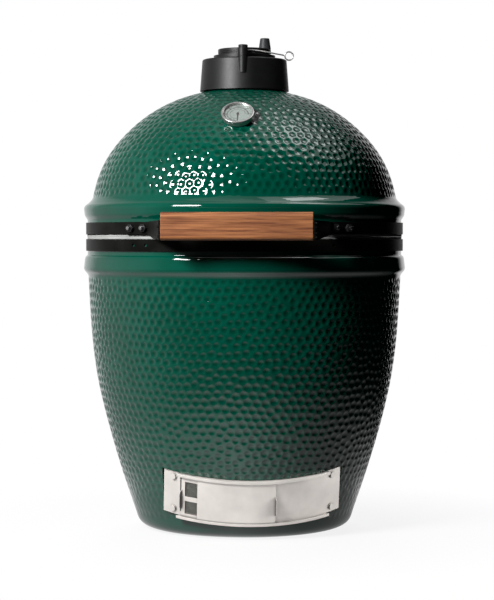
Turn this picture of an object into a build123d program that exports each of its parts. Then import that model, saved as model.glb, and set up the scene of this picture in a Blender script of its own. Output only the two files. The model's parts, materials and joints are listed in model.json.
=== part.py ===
from build123d import *
import os
from math import atan2, cos, degrees, radians, sin, sqrt

os.makedirs("parts", exist_ok=True)

# A kamado ceramic grill, 840 mm tall. Origin: centre of the base's underside. +Z is up and
# the front, with the handle, faces -Y. The draft door is DOOR_CLOCK degrees to its right.
# Lengths are in millimetres.
# Angles named ..._ANGLE are in degrees around Z from the front, positive towards +X.

# ---------------------------------------------------------------- driving dimensions
RIM_RADIUS = 270.4            # plain cylinder where each band is clamped
MOUTH_RADIUS = 243.0          # inside of both ceramic halves at the joint
BASE_RIM_TOP = 495.5
DOME_RIM_BOTTOM = 501.5
GASKET_GAP = 0.2              # between the two felt rings when the dome is shut
NECK_RADIUS = 62.0            # chimney neck under the vent cap
FLUE_RADIUS = 50.0
NECK_TOP = 796.8

BASE_WALL = [(188, 27), (211.7, 97), (236.6, 183), (252.6, 252), (262.1, 321), (267, 390), (269, 431)]
BASE_INSIDE = [(150, 32), (172, 62), (189.5, 114), (209, 183), (225.5, 252), (237, 338), (243, 420)]
DOME_WALL = [
    (261.3, 565.3), (255.5, 589), (238, 631), (206.8, 672), (155.5, 714), (112.4, 735), (77.6, 745.5),
]
DOME_INSIDE = [(60, 727), (118, 709), (160, 684), (197, 648), (220, 607), (232, 570), (243, 540)]

BAND_INNER = 270.5
BAND_OUTER = 273.0
BAND_HEIGHT = 20.0
BASE_BAND_BOTTOM = 474.5
DOME_BAND_BOTTOM = 502.5

HINGE_Y = 318.0
HINGE_Z = 498.5
HINGE_TRAVEL = 75.0
EAR_ANGLE = 15.25             # from the rear: where each band end is bolted to its bracket
EAR_RADIUS = 285.0
EAR_LENGTH = 23.0
SHEET = 2.5                   # bands, hinge brackets and their ears
EAR_GAP = 3.7                 # half of the gap that a tension bolt spans

HANDLE_LENGTH = 239.0
HANDLE_HEIGHT = 44.6
HANDLE_DEPTH = 26.0
HANDLE_FRONT_Y = -335.0
HANDLE_BOTTOM = 492.4
STRAP = 3.0                   # thickness of the handle brackets
STRAP_BEND_ANGLE = 32.5
STRAP_BOLT_ANGLES = (34.0, 39.6)

DOOR_CLOCK = 7.0              # the base is clamped with its draft door this far round from the handle
DOOR_TILT = 16.5              # draft door leans out at the top, square to the wall
DOOR_AXIS_BACK = 4.2          # its axis crosses this far behind the grill's own
DOOR_AXIS_Z = 125.8
FRAME_INNER = 213.0           # radii are about the draft door's own tilted axis
FRAME_OUTER = 214.5
FRAME_HALF_ANGLE = 43.0
FRAME_HALF_HEIGHT = 38.0
RAIL_HALF_ANGLE = 35.0
DOOR_SHEET = 1.0

CAP_SEAT = 749.0
CAP_TOP = 803.0
LID_PIVOT_Y = -67.5
THERMOMETER_LEAN = 48.5       # elevation of the dial's axis
THERMOMETER_RADIUS = 183.8
THERMOMETER_HEIGHT = 693.2
THERMOMETER_CLOCK = -1.3

FIT = 0.05                    # radial clearance of every pin and shaft that turns
TOUCH = 0.1                   # gap between pieces that rest on each other
THREAD = 0.02                 # radial gap of a nut or tapped hole on its screw


# ---------------------------------------------------------------- placing helpers
def around(radius, angle, height=0.0):
    """Point at an angle from the front, positive towards +X."""
    return Vector(radius * sin(radians(angle)), -radius * cos(radians(angle)), height)


def facing_out(radius, angle, height):
    """Plane square to the radius at an angle: its normal points away from the grill."""
    across = (cos(radians(angle)), sin(radians(angle)), 0)
    outward = (sin(radians(angle)), -cos(radians(angle)), 0)
    return Plane(origin=around(radius, angle, height), x_dir=across, z_dir=outward)


def band_end(side, height):
    """Plane square to a band at one end, at the rear: local X runs outward, the normal away from the gap."""
    outward = (side * sin(radians(EAR_ANGLE)), cos(radians(EAR_ANGLE)), 0)
    away = (side * cos(radians(EAR_ANGLE)), -sin(radians(EAR_ANGLE)), 0)
    origin = (EAR_RADIUS * outward[0], EAR_RADIUS * outward[1], height)
    return Plane(origin=origin, x_dir=outward, z_dir=away)


def rear_wedge(beyond):
    """Region at the rear between the two band ends, moved outward along the band by a distance."""
    corners = []
    for side, reach in ((-1, -60), (-1, 60), (1, 60), (1, -60)):
        point = band_end(side, 0).from_local_coords((reach, 0, beyond))
        corners.append((point.X, point.Y))
    with BuildSketch(mode=Mode.PRIVATE) as wedge:
        Polygon(*corners, align=None)
    return wedge.sketch


def ring_sector(inner, outer, start, end):
    """Face between two radii and two angles from the front."""
    middle = (start + end) / 2
    with BuildSketch(mode=Mode.PRIVATE) as sector:
        with BuildLine():
            ThreePointArc(around(outer, start), around(outer, middle), around(outer, end))
            Line(around(outer, end), around(inner, end))
            ThreePointArc(around(inner, end), around(inner, middle), around(inner, start))
            Line(around(inner, start), around(outer, start))
        make_face()
    return sector.sketch


HINGE_PLANE = Plane(origin=(0, HINGE_Y, HINGE_Z), x_dir=(0, 1, 0), z_dir=(1, 0, 0))
DOOR_PLANE = Plane(
    origin=around(-DOOR_AXIS_BACK, DOOR_CLOCK, DOOR_AXIS_Z),
    x_dir=(cos(radians(DOOR_CLOCK)), sin(radians(DOOR_CLOCK)), 0),
    z_dir=around(sin(radians(DOOR_TILT)), DOOR_CLOCK, cos(radians(DOOR_TILT))),
)
DIAL_PLANE = Plane(
    origin=around(THERMOMETER_RADIUS, THERMOMETER_CLOCK, THERMOMETER_HEIGHT),
    x_dir=(cos(radians(THERMOMETER_CLOCK)), sin(radians(THERMOMETER_CLOCK)), 0),
    z_dir=around(cos(radians(THERMOMETER_LEAN)), THERMOMETER_CLOCK, sin(radians(THERMOMETER_LEAN))),
)
DIAL_AXIS = Axis(DIAL_PLANE.origin, DIAL_PLANE.z_dir)


def door_facing_out(radius, angle, height):
    """Plane square to the draft door at an angle and a height along its own axis."""
    return Plane(DOOR_PLANE.location * facing_out(radius, angle, height).location)


def door_edge(radius, angle):
    """Plane across a draft door's edge: local X runs outward, local Y down the door."""
    flat = door_facing_out(radius, angle, 0)
    return Plane(origin=flat.origin, x_dir=flat.z_dir, z_dir=flat.x_dir)


# ---------------------------------------------------------------- ceramic base
FRAME_SCREW_ANGLE = 37.5
FRAME_SCREW_HEIGHTS = (-28.0, 29.0)
VENT_HALF_ANGLE = 26.0        # opening through the wall behind the draft door
VENT_HALF_HEIGHT = 28.0
FRAME_SCREW_RADIUS = 2.4
FRAME_SCREW_LENGTH = 16.0
SEAT_RADIUS = FRAME_INNER - TOUCH
PAD_DEPTH = 14.0
FLOOR_TOP = 32.0

with BuildPart() as base_shell:
    with BuildSketch(Plane.XZ):
        with BuildLine():
            Line((0, 0), (157.5, 0))
            Bezier((157.5, 0), (181, 0), (184.5, 17), BASE_WALL[0])
            Spline(*BASE_WALL, tangents=[(3.5, 10), (0.3, 10)])
            Spline((269, 431), (273.4, 438), (276.9, 445.5), tangents=[(0.3, 10), (0, 10)])
            Line((276.9, 445.5), (275.2, 460))
            ThreePointArc((275.2, 460), (273.9, 464.4), (RIM_RADIUS, 467.5))
            Line((RIM_RADIUS, 467.5), (RIM_RADIUS, BASE_RIM_TOP))
            Line((RIM_RADIUS, BASE_RIM_TOP), (MOUTH_RADIUS, BASE_RIM_TOP))
            Line((MOUTH_RADIUS, BASE_RIM_TOP), BASE_INSIDE[-1])
            Spline(*reversed(BASE_INSIDE), tangents=[(0, -10), (-10, -8)])
            Line(BASE_INSIDE[0], (0, FLOOR_TOP))
            Line((0, FLOOR_TOP), (0, 0))
        make_face()
    revolve(axis=Axis.Z)
    # Raised pad that the draft door's frame beds on, then everything outside it cut away
    with BuildSketch(DOOR_PLANE.offset(-FRAME_HALF_HEIGHT - 1.5)):
        add(ring_sector(SEAT_RADIUS - PAD_DEPTH, SEAT_RADIUS, -FRAME_HALF_ANGLE, FRAME_HALF_ANGLE))
    extrude(amount=2 * FRAME_HALF_HEIGHT + 1.5)
    with BuildSketch(DOOR_PLANE.offset(-FRAME_HALF_HEIGHT - 4.5)):
        add(ring_sector(SEAT_RADIUS, SEAT_RADIUS + 30, -FRAME_HALF_ANGLE - 0.5, FRAME_HALF_ANGLE + 0.5))
    extrude(amount=2 * FRAME_HALF_HEIGHT + 5.5, mode=Mode.SUBTRACT)
    with BuildSketch(DOOR_PLANE.offset(-VENT_HALF_HEIGHT)):
        add(ring_sector(150, SEAT_RADIUS + 10, -VENT_HALF_ANGLE, VENT_HALF_ANGLE))
    extrude(amount=2 * VENT_HALF_HEIGHT, mode=Mode.SUBTRACT)
    for side_angle in (-FRAME_SCREW_ANGLE, FRAME_SCREW_ANGLE):
        for screw_height in FRAME_SCREW_HEIGHTS:
            with BuildSketch(door_facing_out(SEAT_RADIUS, side_angle, screw_height)):
                Circle(FRAME_SCREW_RADIUS + FIT)
            extrude(amount=-FRAME_SCREW_LENGTH, mode=Mode.SUBTRACT)

# ---------------------------------------------------------------- ceramic dome
BOLT_HEAD_RADIUS = 7.0
BOLT_HEAD_DEPTH = 2.6
STEM_HOLE_RADIUS = 6.0

with BuildPart() as dome_shell:
    with BuildSketch(Plane.XZ):
        with BuildLine():
            Line((MOUTH_RADIUS, DOME_RIM_BOTTOM), (RIM_RADIUS, DOME_RIM_BOTTOM))
            Line((RIM_RADIUS, DOME_RIM_BOTTOM), (RIM_RADIUS, 527))
            Spline((RIM_RADIUS, 527), (274.8, 534.3), (276, 541), tangents=[(5, 10), (1, 10)])
            Spline((276, 541), (276.5, 547), (270.3, 555), DOME_WALL[0], tangents=[(1, 10), (-2, 4)])
            Spline(*DOME_WALL, tangents=[(-2, 10), (-10, 2)])
            Line(DOME_WALL[-1], (NECK_RADIUS + 3, 748))
            ThreePointArc((NECK_RADIUS + 3, 748), (NECK_RADIUS + 0.9, 749), (NECK_RADIUS, 751))
            Line((NECK_RADIUS, 751), (NECK_RADIUS, NECK_TOP))
            Line((NECK_RADIUS, NECK_TOP), (FLUE_RADIUS, NECK_TOP))
            Line((FLUE_RADIUS, NECK_TOP), (FLUE_RADIUS, 733))
            ThreePointArc((FLUE_RADIUS, 733), (53, 729.2), DOME_INSIDE[0])
            Spline(*DOME_INSIDE, tangents=[(10, -2.4), (0.5, -10)])
            Line(DOME_INSIDE[-1], (MOUTH_RADIUS, DOME_RIM_BOTTOM))
        make_face()
    revolve(axis=Axis.Z)
    with BuildSketch(DIAL_PLANE.offset(-40)):
        Circle(STEM_HOLE_RADIUS)
    extrude(amount=60, mode=Mode.SUBTRACT)
    # Shallow pockets for the heads of the handle's bolts, behind the band
    for side in (-1, 1):
        for bolt_angle in STRAP_BOLT_ANGLES:
            mid_height = DOME_BAND_BOTTOM + BAND_HEIGHT / 2
            with BuildSketch(facing_out(RIM_RADIUS - 3, side * bolt_angle, mid_height)):
                Circle(BOLT_HEAD_RADIUS + 1)
            extrude(amount=10, mode=Mode.SUBTRACT)

# ---------------------------------------------------------------- fire parts inside the base
FIRE_BOX_TOP = 275.0
FIRE_RING_TOP = 450.0
GRATE_RADIUS = 95.0
GRATE_SEAT = 105.0
GRATE_THICKNESS = 8.0
ASH_ARCH_WIDTH = 130.0
ASH_ARCH_HEIGHT = 45.0
AIR_HOLE_RADIUS = 9.0

with BuildPart() as fire_box:
    with BuildSketch(Plane.XZ):
        with BuildLine():
            Polyline(
                (128, FLOOR_TOP + TOUCH), (150, FLOOR_TOP + TOUCH),
                (222, FIRE_BOX_TOP), (200, FIRE_BOX_TOP), (170, 130), (100, 112),
                (100, GRATE_SEAT), (80, GRATE_SEAT), (80, 85), (118, 85), close=True,
            )
        make_face()
    revolve(axis=Axis.Z)
    with BuildSketch(facing_out(0, DOOR_CLOCK, FLOOR_TOP)):
        Rectangle(ASH_ARCH_WIDTH, ASH_ARCH_HEIGHT, align=(Align.CENTER, Align.MIN))
    extrude(amount=220, mode=Mode.SUBTRACT)
    for step in range(8):
        with BuildSketch(facing_out(150, 22.5 + 45 * step, 165)):
            Circle(AIR_HOLE_RADIUS)
        extrude(amount=80, mode=Mode.SUBTRACT)

with BuildPart() as fire_grate:
    with BuildSketch(Plane.XY.offset(GRATE_SEAT + TOUCH)):
        Circle(GRATE_RADIUS)
        for row_radius, count in ((0, 1), (26, 6), (52, 12), (78, 18)):
            with PolarLocations(row_radius, count):
                Circle(6.5, mode=Mode.SUBTRACT)
    extrude(amount=GRATE_THICKNESS)

with BuildPart() as fire_ring:
    with BuildSketch(Plane.XZ):
        with BuildLine():
            foot = FIRE_BOX_TOP + TOUCH
            Polyline((203, foot), (221, foot), (231, FIRE_RING_TOP), (206, FIRE_RING_TOP), close=True)
        make_face()
    revolve(axis=Axis.Z)

GRID_RING_RADIUS = 218.0
GRID_RING_WIRE = 3.0
GRID_HEIGHT = FIRE_RING_TOP + GRID_RING_WIRE + TOUCH
BAR_PITCH = 20.0
BAR_WIRE = 2.2
STAY_WIRE = 2.6

with BuildPart() as cooking_grid:
    with BuildSketch(Plane.XZ):
        with Locations((GRID_RING_RADIUS, GRID_HEIGHT)):
            Circle(GRID_RING_WIRE)
    revolve(axis=Axis.Z)
    # Bars lie on the ring, and two stays cross under them
    for row in range(-10, 11):
        reach = sqrt(GRID_RING_RADIUS**2 - (row * BAR_PITCH) ** 2) + 1
        with BuildSketch(Plane.XZ.offset(-reach)):
            with Locations((row * BAR_PITCH, GRID_HEIGHT + 3.6)):
                Circle(BAR_WIRE)
        extrude(amount=2 * reach)
    for crossing in (-85, 85):
        reach = sqrt(GRID_RING_RADIUS**2 - crossing**2)
        with BuildSketch(Plane.YZ.offset(-reach)):
            with Locations((crossing, GRID_HEIGHT + 0.4)):
                Circle(STAY_WIRE)
        extrude(amount=2 * reach)

# ---------------------------------------------------------------- felt gaskets
GASKET_THICKNESS = (DOME_RIM_BOTTOM - BASE_RIM_TOP - GASKET_GAP) / 2
GASKET_INNER = MOUTH_RADIUS + 3
GASKET_OUTER = RIM_RADIUS - 0.8

with BuildPart() as base_gasket:
    with BuildSketch(Plane.XY.offset(BASE_RIM_TOP)):
        Circle(GASKET_OUTER)
        Circle(GASKET_INNER, mode=Mode.SUBTRACT)
    extrude(amount=GASKET_THICKNESS)

with BuildPart() as dome_gasket:
    with BuildSketch(Plane.XY.offset(DOME_RIM_BOTTOM - GASKET_THICKNESS)):
        Circle(GASKET_OUTER)
        Circle(GASKET_INNER, mode=Mode.SUBTRACT)
    extrude(amount=GASKET_THICKNESS)

# ---------------------------------------------------------------- clamp bands
TENSION_BOLT_RADIUS = 4.0
TENSION_HOLE_RADIUS = 4.3
STRAP_BOLT_RADIUS = 3.0
STRAP_HOLE_RADIUS = 3.2
SPARE_HOLE_RADIUS = 2.7
SPARE_HOLE_ANGLES = (33.9, 39.4)

with BuildPart() as base_band:
    with BuildSketch(Plane.XY.offset(BASE_BAND_BOTTOM)):
        Circle(BAND_OUTER)
        Circle(BAND_INNER, mode=Mode.SUBTRACT)
        add(rear_wedge(EAR_GAP), mode=Mode.SUBTRACT)
    extrude(amount=BAND_HEIGHT)
    base_band_middle = BASE_BAND_BOTTOM + BAND_HEIGHT / 2
    for side in (-1, 1):
        with BuildSketch(band_end(side, base_band_middle).offset(EAR_GAP)):
            with Locations((EAR_LENGTH / 2 - EAR_RADIUS + BAND_INNER, 0)):
                Rectangle(EAR_LENGTH, BAND_HEIGHT)
            Circle(TENSION_HOLE_RADIUS, mode=Mode.SUBTRACT)
        extrude(amount=SHEET)
        for hole_angle in SPARE_HOLE_ANGLES:
            with BuildSketch(facing_out(BAND_INNER - 2, side * hole_angle, base_band_middle)):
                Circle(SPARE_HOLE_RADIUS)
            extrude(amount=8, mode=Mode.SUBTRACT)

with BuildPart() as dome_band:
    with BuildSketch(Plane.XY.offset(DOME_BAND_BOTTOM)):
        Circle(BAND_OUTER)
        Circle(BAND_INNER, mode=Mode.SUBTRACT)
        add(rear_wedge(EAR_GAP), mode=Mode.SUBTRACT)
    extrude(amount=BAND_HEIGHT)
    dome_band_middle = DOME_BAND_BOTTOM + BAND_HEIGHT / 2
    for side in (-1, 1):
        with BuildSketch(band_end(side, dome_band_middle).offset(EAR_GAP)):
            with Locations((EAR_LENGTH / 2 - EAR_RADIUS + BAND_INNER, 0)):
                Rectangle(EAR_LENGTH, BAND_HEIGHT)
            Circle(TENSION_HOLE_RADIUS, mode=Mode.SUBTRACT)
        extrude(amount=SHEET)
        for bolt_angle in STRAP_BOLT_ANGLES:
            with BuildSketch(facing_out(BAND_INNER - 2, side * bolt_angle, dome_band_middle)):
                Circle(STRAP_HOLE_RADIUS)
            extrude(amount=8, mode=Mode.SUBTRACT)

# ---------------------------------------------------------------- rear hinge
SADDLE_INNER = BAND_INNER + 0.1
SADDLE_OUTER = SADDLE_INNER + SHEET
PIN_RADIUS = 5.0
KNUCKLE_RADIUS = 9.0
CHEEK = 3.0
LOWER_CHEEK_X = 45.0
UPPER_CHEEK_X = 38.0
COIL_RADIUS = 11.0
WIRE_RADIUS = 2.25
COIL_PITCH = 4.7
COIL_TURNS = 5.5
COIL_START_X = 8.0
LEG_LENGTH = 32.0
LEG_RADIUS = 2.1              # the straight legs are drawn a little thinner than the coil
LEG_ROOT = 0.5                # how far a leg starts inside its coil
SHELF_TOP = HINGE_Z - COIL_RADIUS - WIRE_RADIUS - FIT
SHELF_REAR_Y = HINGE_Y - 12.0
WEB_BOTTOM = HINGE_Z + COIL_RADIUS + WIRE_RADIUS + FIT

with BuildPart() as lower_hinge_bracket:
    with BuildSketch(Plane.XY.offset(BASE_BAND_BOTTOM)):
        Circle(SADDLE_OUTER)
        Circle(SADDLE_INNER, mode=Mode.SUBTRACT)
        add(rear_wedge(-EAR_GAP), mode=Mode.INTERSECT)
    extrude(amount=BAND_HEIGHT)
    for side in (-1, 1):
        with BuildSketch(band_end(side, base_band_middle).offset(-EAR_GAP)):
            with Locations((EAR_LENGTH / 2 - EAR_RADIUS + SADDLE_INNER, 0)):
                Rectangle(EAR_LENGTH, BAND_HEIGHT)
            Circle(TENSION_HOLE_RADIUS, mode=Mode.SUBTRACT)
        extrude(amount=-SHEET)
        with BuildSketch(Plane.YZ.offset(side * LOWER_CHEEK_X)):
            with BuildLine():
                CenterArc((HINGE_Y, HINGE_Z), KNUCKLE_RADIUS, 0, 360)
                CenterArc((269.8, BASE_BAND_BOTTOM + 2.5), 1.5, 0, 360)
                CenterArc((269.8, BASE_BAND_BOTTOM + BAND_HEIGHT - 2.5), 1.5, 0, 360)
            make_hull()
        extrude(amount=CHEEK / 2, both=True)
    with BuildSketch(Plane.XY.offset(SHELF_TOP)):
        with Locations((0, 271)):
            Rectangle(2 * LOWER_CHEEK_X, SHELF_REAR_Y - 271, align=(Align.CENTER, Align.MIN))
    extrude(amount=-SHEET)
    with BuildSketch(HINGE_PLANE):
        Circle(PIN_RADIUS + FIT)
    extrude(amount=60, both=True, mode=Mode.SUBTRACT)

with BuildPart() as upper_hinge_bracket:
    with BuildSketch(Plane.XY.offset(DOME_BAND_BOTTOM)):
        Circle(SADDLE_OUTER)
        Circle(SADDLE_INNER, mode=Mode.SUBTRACT)
        add(rear_wedge(-EAR_GAP), mode=Mode.INTERSECT)
    extrude(amount=BAND_HEIGHT)
    # Stop tails, drawn where they meet the lower shelf's rear edge with the dome fully open
    open_turn = radians(HINGE_TRAVEL)
    for side in (-1, 1):
        with BuildSketch(band_end(side, dome_band_middle).offset(-EAR_GAP)):
            with Locations((EAR_LENGTH / 2 - EAR_RADIUS + SADDLE_INNER, 0)):
                Rectangle(EAR_LENGTH, BAND_HEIGHT)
            Circle(TENSION_HOLE_RADIUS, mode=Mode.SUBTRACT)
        extrude(amount=-SHEET)
        with BuildSketch(Plane.YZ.offset(side * UPPER_CHEEK_X)):
            with BuildLine():
                CenterArc((HINGE_Y, HINGE_Z), KNUCKLE_RADIUS, 0, 360)
                CenterArc((270.7, DOME_BAND_BOTTOM + 2.5), 1.5, 0, 360)
                CenterArc((270.7, DOME_BAND_BOTTOM + BAND_HEIGHT - 2.5), 1.5, 0, 360)
            make_hull()
        extrude(amount=CHEEK / 2, both=True)
        open_plane = Plane(
            origin=(side * UPPER_CHEEK_X, HINGE_Y, HINGE_Z),
            x_dir=(0, cos(open_turn), sin(open_turn)),
            z_dir=(1, 0, 0),
        )
        with BuildSketch(open_plane):
            with Locations((-7.7, -10)):
                Rectangle(8, 20)
        extrude(amount=CHEEK / 2, both=True)
    with BuildSketch(Plane.XY.offset(WEB_BOTTOM)):
        with Locations((0, 271.5)):
            Rectangle(2 * UPPER_CHEEK_X, 26, align=(Align.CENTER, Align.MIN))
    extrude(amount=SHEET)
    with BuildSketch(HINGE_PLANE):
        Circle(PIN_RADIUS + FIT)
    extrude(amount=60, both=True, mode=Mode.SUBTRACT)

PIN_HEAD = 5.0
PIN_NUT_HALF = 8.0
PIN_NUT_HEIGHT = 6.5
SLEEVE_RADIUS = 7.2
PIN_END_X = LOWER_CHEEK_X + CHEEK / 2 + 8.0

with BuildPart() as hinge_pin:
    with BuildSketch(HINGE_PLANE.offset(-LOWER_CHEEK_X - CHEEK / 2 - TOUCH)):
        Circle(PIN_RADIUS)
    extrude(amount=LOWER_CHEEK_X + CHEEK / 2 + TOUCH + PIN_END_X)
    with BuildSketch(HINGE_PLANE.offset(-LOWER_CHEEK_X - CHEEK / 2 - TOUCH)):
        Circle(PIN_RADIUS + 3)
    extrude(amount=-PIN_HEAD)
    chamfer(hinge_pin.faces().sort_by(Axis.X)[0].edges(), length=1)

with BuildPart() as hinge_pin_nut:
    with BuildSketch(HINGE_PLANE.offset(LOWER_CHEEK_X + CHEEK / 2 + TOUCH)):
        RegularPolygon(PIN_NUT_HALF, 6, major_radius=False)
        Circle(PIN_RADIUS + THREAD, mode=Mode.SUBTRACT)
    extrude(amount=PIN_NUT_HEIGHT)

with BuildPart() as hinge_sleeve:
    sleeve_half = UPPER_CHEEK_X - CHEEK / 2 - TOUCH
    with BuildSketch(HINGE_PLANE):
        Circle(SLEEVE_RADIUS)
        Circle(PIN_RADIUS + FIT, mode=Mode.SUBTRACT)
    extrude(amount=sleeve_half, both=True)

# Local frame of a coil: X points down to the first leg, Y to the rear, Z along the hinge pin
COIL_PLANE = Plane(origin=(COIL_START_X, HINGE_Y, HINGE_Z), x_dir=(0, 0, -1), z_dir=(1, 0, 0))

with BuildPart() as torsion_spring_right:
    coil = Helix(
        pitch=COIL_PITCH, height=COIL_PITCH * COIL_TURNS, radius=COIL_RADIUS, mode=Mode.PRIVATE,
    ).moved(COIL_PLANE.location)
    with BuildSketch(Plane(origin=coil @ 0, z_dir=coil % 0)):
        Circle(WIRE_RADIUS)
    sweep(path=coil, is_frenet=True)
    for leg_end in (coil @ 0, coil @ 1):
        with BuildSketch(Plane(origin=leg_end, x_dir=(1, 0, 0), z_dir=(0, -1, 0)).offset(-LEG_ROOT)):
            Circle(LEG_RADIUS)
        extrude(amount=LEG_LENGTH + LEG_ROOT)

with BuildPart() as torsion_spring_left:
    add(mirror(torsion_spring_right.part, about=Plane.YZ, mode=Mode.PRIVATE))

# ---------------------------------------------------------------- band tension bolts
HEX_HALF = 6.5
BOLT_HEAD = 5.3
NUT_HEIGHT = 6.5
EAR_FACE = EAR_GAP + SHEET + TOUCH
TENSION_BOLT_LENGTH = 2 * EAR_FACE + NUT_HEIGHT + 3

with BuildPart() as base_band_bolts:
    for side in (-1, 1):
        with BuildSketch(band_end(side, base_band_middle).offset(EAR_FACE)):
            RegularPolygon(HEX_HALF, 6, major_radius=False)
        extrude(amount=BOLT_HEAD)
        with BuildSketch(band_end(side, base_band_middle).offset(EAR_FACE)):
            Circle(TENSION_BOLT_RADIUS)
        extrude(amount=-TENSION_BOLT_LENGTH)

with BuildPart() as dome_band_bolts:
    for side in (-1, 1):
        with BuildSketch(band_end(side, dome_band_middle).offset(EAR_FACE)):
            RegularPolygon(HEX_HALF, 6, major_radius=False)
        extrude(amount=BOLT_HEAD)
        with BuildSketch(band_end(side, dome_band_middle).offset(EAR_FACE)):
            Circle(TENSION_BOLT_RADIUS)
        extrude(amount=-TENSION_BOLT_LENGTH)

with BuildPart() as base_band_nuts:
    for side in (-1, 1):
        with BuildSketch(band_end(side, base_band_middle).offset(-EAR_FACE)):
            RegularPolygon(HEX_HALF, 6, major_radius=False)
            Circle(TENSION_BOLT_RADIUS + THREAD, mode=Mode.SUBTRACT)
        extrude(amount=-NUT_HEIGHT)

with BuildPart() as dome_band_nuts:
    for side in (-1, 1):
        with BuildSketch(band_end(side, dome_band_middle).offset(-EAR_FACE)):
            RegularPolygon(HEX_HALF, 6, major_radius=False)
            Circle(TENSION_BOLT_RADIUS + THREAD, mode=Mode.SUBTRACT)
        extrude(amount=-NUT_HEIGHT)

# ---------------------------------------------------------------- handle
HANDLE_BACK_Y = HANDLE_FRONT_Y + HANDLE_DEPTH
HANDLE_MIDDLE_Y = HANDLE_FRONT_Y + HANDLE_DEPTH / 2
HANDLE_HALF = HANDLE_LENGTH / 2
END_SCREW_HEIGHTS = (500.5, 516.5)
END_SCREW_RADIUS = 2.2
END_SCREW_HEAD = 4.5
END_SCREW_LENGTH = 30.0
STRAP_INNER = BAND_OUTER + TOUCH
STRAP_BOTTOM = 492.6
STRAP_TOP = 524.5

with BuildPart() as handle_bar:
    with BuildSketch(Plane.YZ.offset(-HANDLE_HALF)):
        with Locations((HANDLE_MIDDLE_Y, HANDLE_BOTTOM + HANDLE_HEIGHT / 2)):
            RectangleRounded(HANDLE_DEPTH, HANDLE_HEIGHT, 7)
    extrude(amount=HANDLE_LENGTH)
    fillet(handle_bar.faces().filter_by(Axis.X).edges(), radius=1)
    for side in (-1, 1):
        for screw_height in END_SCREW_HEIGHTS:
            with BuildSketch(Plane.YZ.offset(side * HANDLE_HALF)):
                with Locations((HANDLE_MIDDLE_Y, screw_height)):
                    Circle(END_SCREW_RADIUS + FIT)
            extrude(amount=-side * END_SCREW_LENGTH, mode=Mode.SUBTRACT)

with BuildPart() as handle_bracket_right:
    bend = around(STRAP_INNER + STRAP / 2, STRAP_BEND_ANGLE)
    elbow = Vector(HANDLE_HALF + TOUCH + STRAP / 2, HANDLE_BACK_Y)
    arm = elbow - bend
    with BuildSketch(Plane.XY.offset(STRAP_BOTTOM)):
        add(ring_sector(STRAP_INNER, STRAP_INNER + STRAP, STRAP_BEND_ANGLE, 42.2))
        with Locations((bend + elbow) / 2):
            Rectangle(arm.length, STRAP, rotation=degrees(atan2(arm.Y, arm.X)))
        with Locations(bend, elbow):
            Circle(STRAP / 2)
        with Locations(elbow):
            Rectangle(STRAP, HANDLE_DEPTH - 1.5, align=(Align.CENTER, Align.MAX))
    extrude(amount=STRAP_TOP - STRAP_BOTTOM)
    # Trimmed to the band's own height at the rear, and deeper towards the bar
    with BuildSketch(Plane.YZ):
        with BuildLine():
            dome_band_top = DOME_BAND_BOTTOM + BAND_HEIGHT
            Polyline(
                (-180, STRAP_BOTTOM - 1), (-180, DOME_BAND_BOTTOM), (bend.Y, DOME_BAND_BOTTOM),
                (elbow.Y + 6, STRAP_BOTTOM), (elbow.Y + 6, STRAP_BOTTOM - 1), close=True,
            )
        make_face()
        with BuildLine():
            Polyline(
                (-180, STRAP_TOP + 1), (-180, dome_band_top), (bend.Y, dome_band_top),
                (elbow.Y + 6, STRAP_TOP), (elbow.Y + 6, STRAP_TOP + 1), close=True,
            )
        make_face()
    extrude(amount=220, mode=Mode.SUBTRACT)
    for bolt_angle in STRAP_BOLT_ANGLES:
        with BuildSketch(facing_out(STRAP_INNER - 1, bolt_angle, dome_band_middle)):
            Circle(STRAP_HOLE_RADIUS)
        extrude(amount=8, mode=Mode.SUBTRACT)
    for screw_height in END_SCREW_HEIGHTS:
        with BuildSketch(Plane.YZ.offset(HANDLE_HALF)):
            with Locations((HANDLE_MIDDLE_Y, screw_height)):
                Circle(END_SCREW_RADIUS + 0.2)
        extrude(amount=8, mode=Mode.SUBTRACT)

with BuildPart() as handle_bracket_left:
    add(mirror(handle_bracket_right.part, about=Plane.YZ, mode=Mode.PRIVATE))

with BuildPart() as handle_end_screws:
    for side in (-1, 1):
        plate_face = side * (HANDLE_HALF + STRAP + 2 * TOUCH)
        for screw_height in END_SCREW_HEIGHTS:
            with BuildSketch(Plane.YZ.offset(plate_face)):
                with Locations((HANDLE_MIDDLE_Y, screw_height)):
                    Circle(END_SCREW_HEAD)
            extrude(amount=side * 2.8)
            with BuildSketch(Plane.YZ.offset(plate_face)):
                with Locations((HANDLE_MIDDLE_Y, screw_height)):
                    Circle(END_SCREW_RADIUS)
            extrude(amount=-side * END_SCREW_LENGTH)

CARRIAGE_BOLT_TIP = 286.0
CARRIAGE_NUT_SEAT = STRAP_INNER + STRAP + TOUCH
CARRIAGE_NUT_HALF = 6.0
CARRIAGE_NUT_HEIGHT = 5.0

with BuildPart() as handle_bolts:
    for side in (-1, 1):
        for bolt_angle in STRAP_BOLT_ANGLES:
            with BuildSketch(facing_out(BAND_INNER - TOUCH, side * bolt_angle, dome_band_middle)):
                Circle(BOLT_HEAD_RADIUS)
            extrude(amount=-BOLT_HEAD_DEPTH)
            with BuildSketch(facing_out(BAND_INNER - TOUCH, side * bolt_angle, dome_band_middle)):
                Circle(STRAP_BOLT_RADIUS)
            extrude(amount=CARRIAGE_BOLT_TIP - BAND_INNER + TOUCH)

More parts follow.
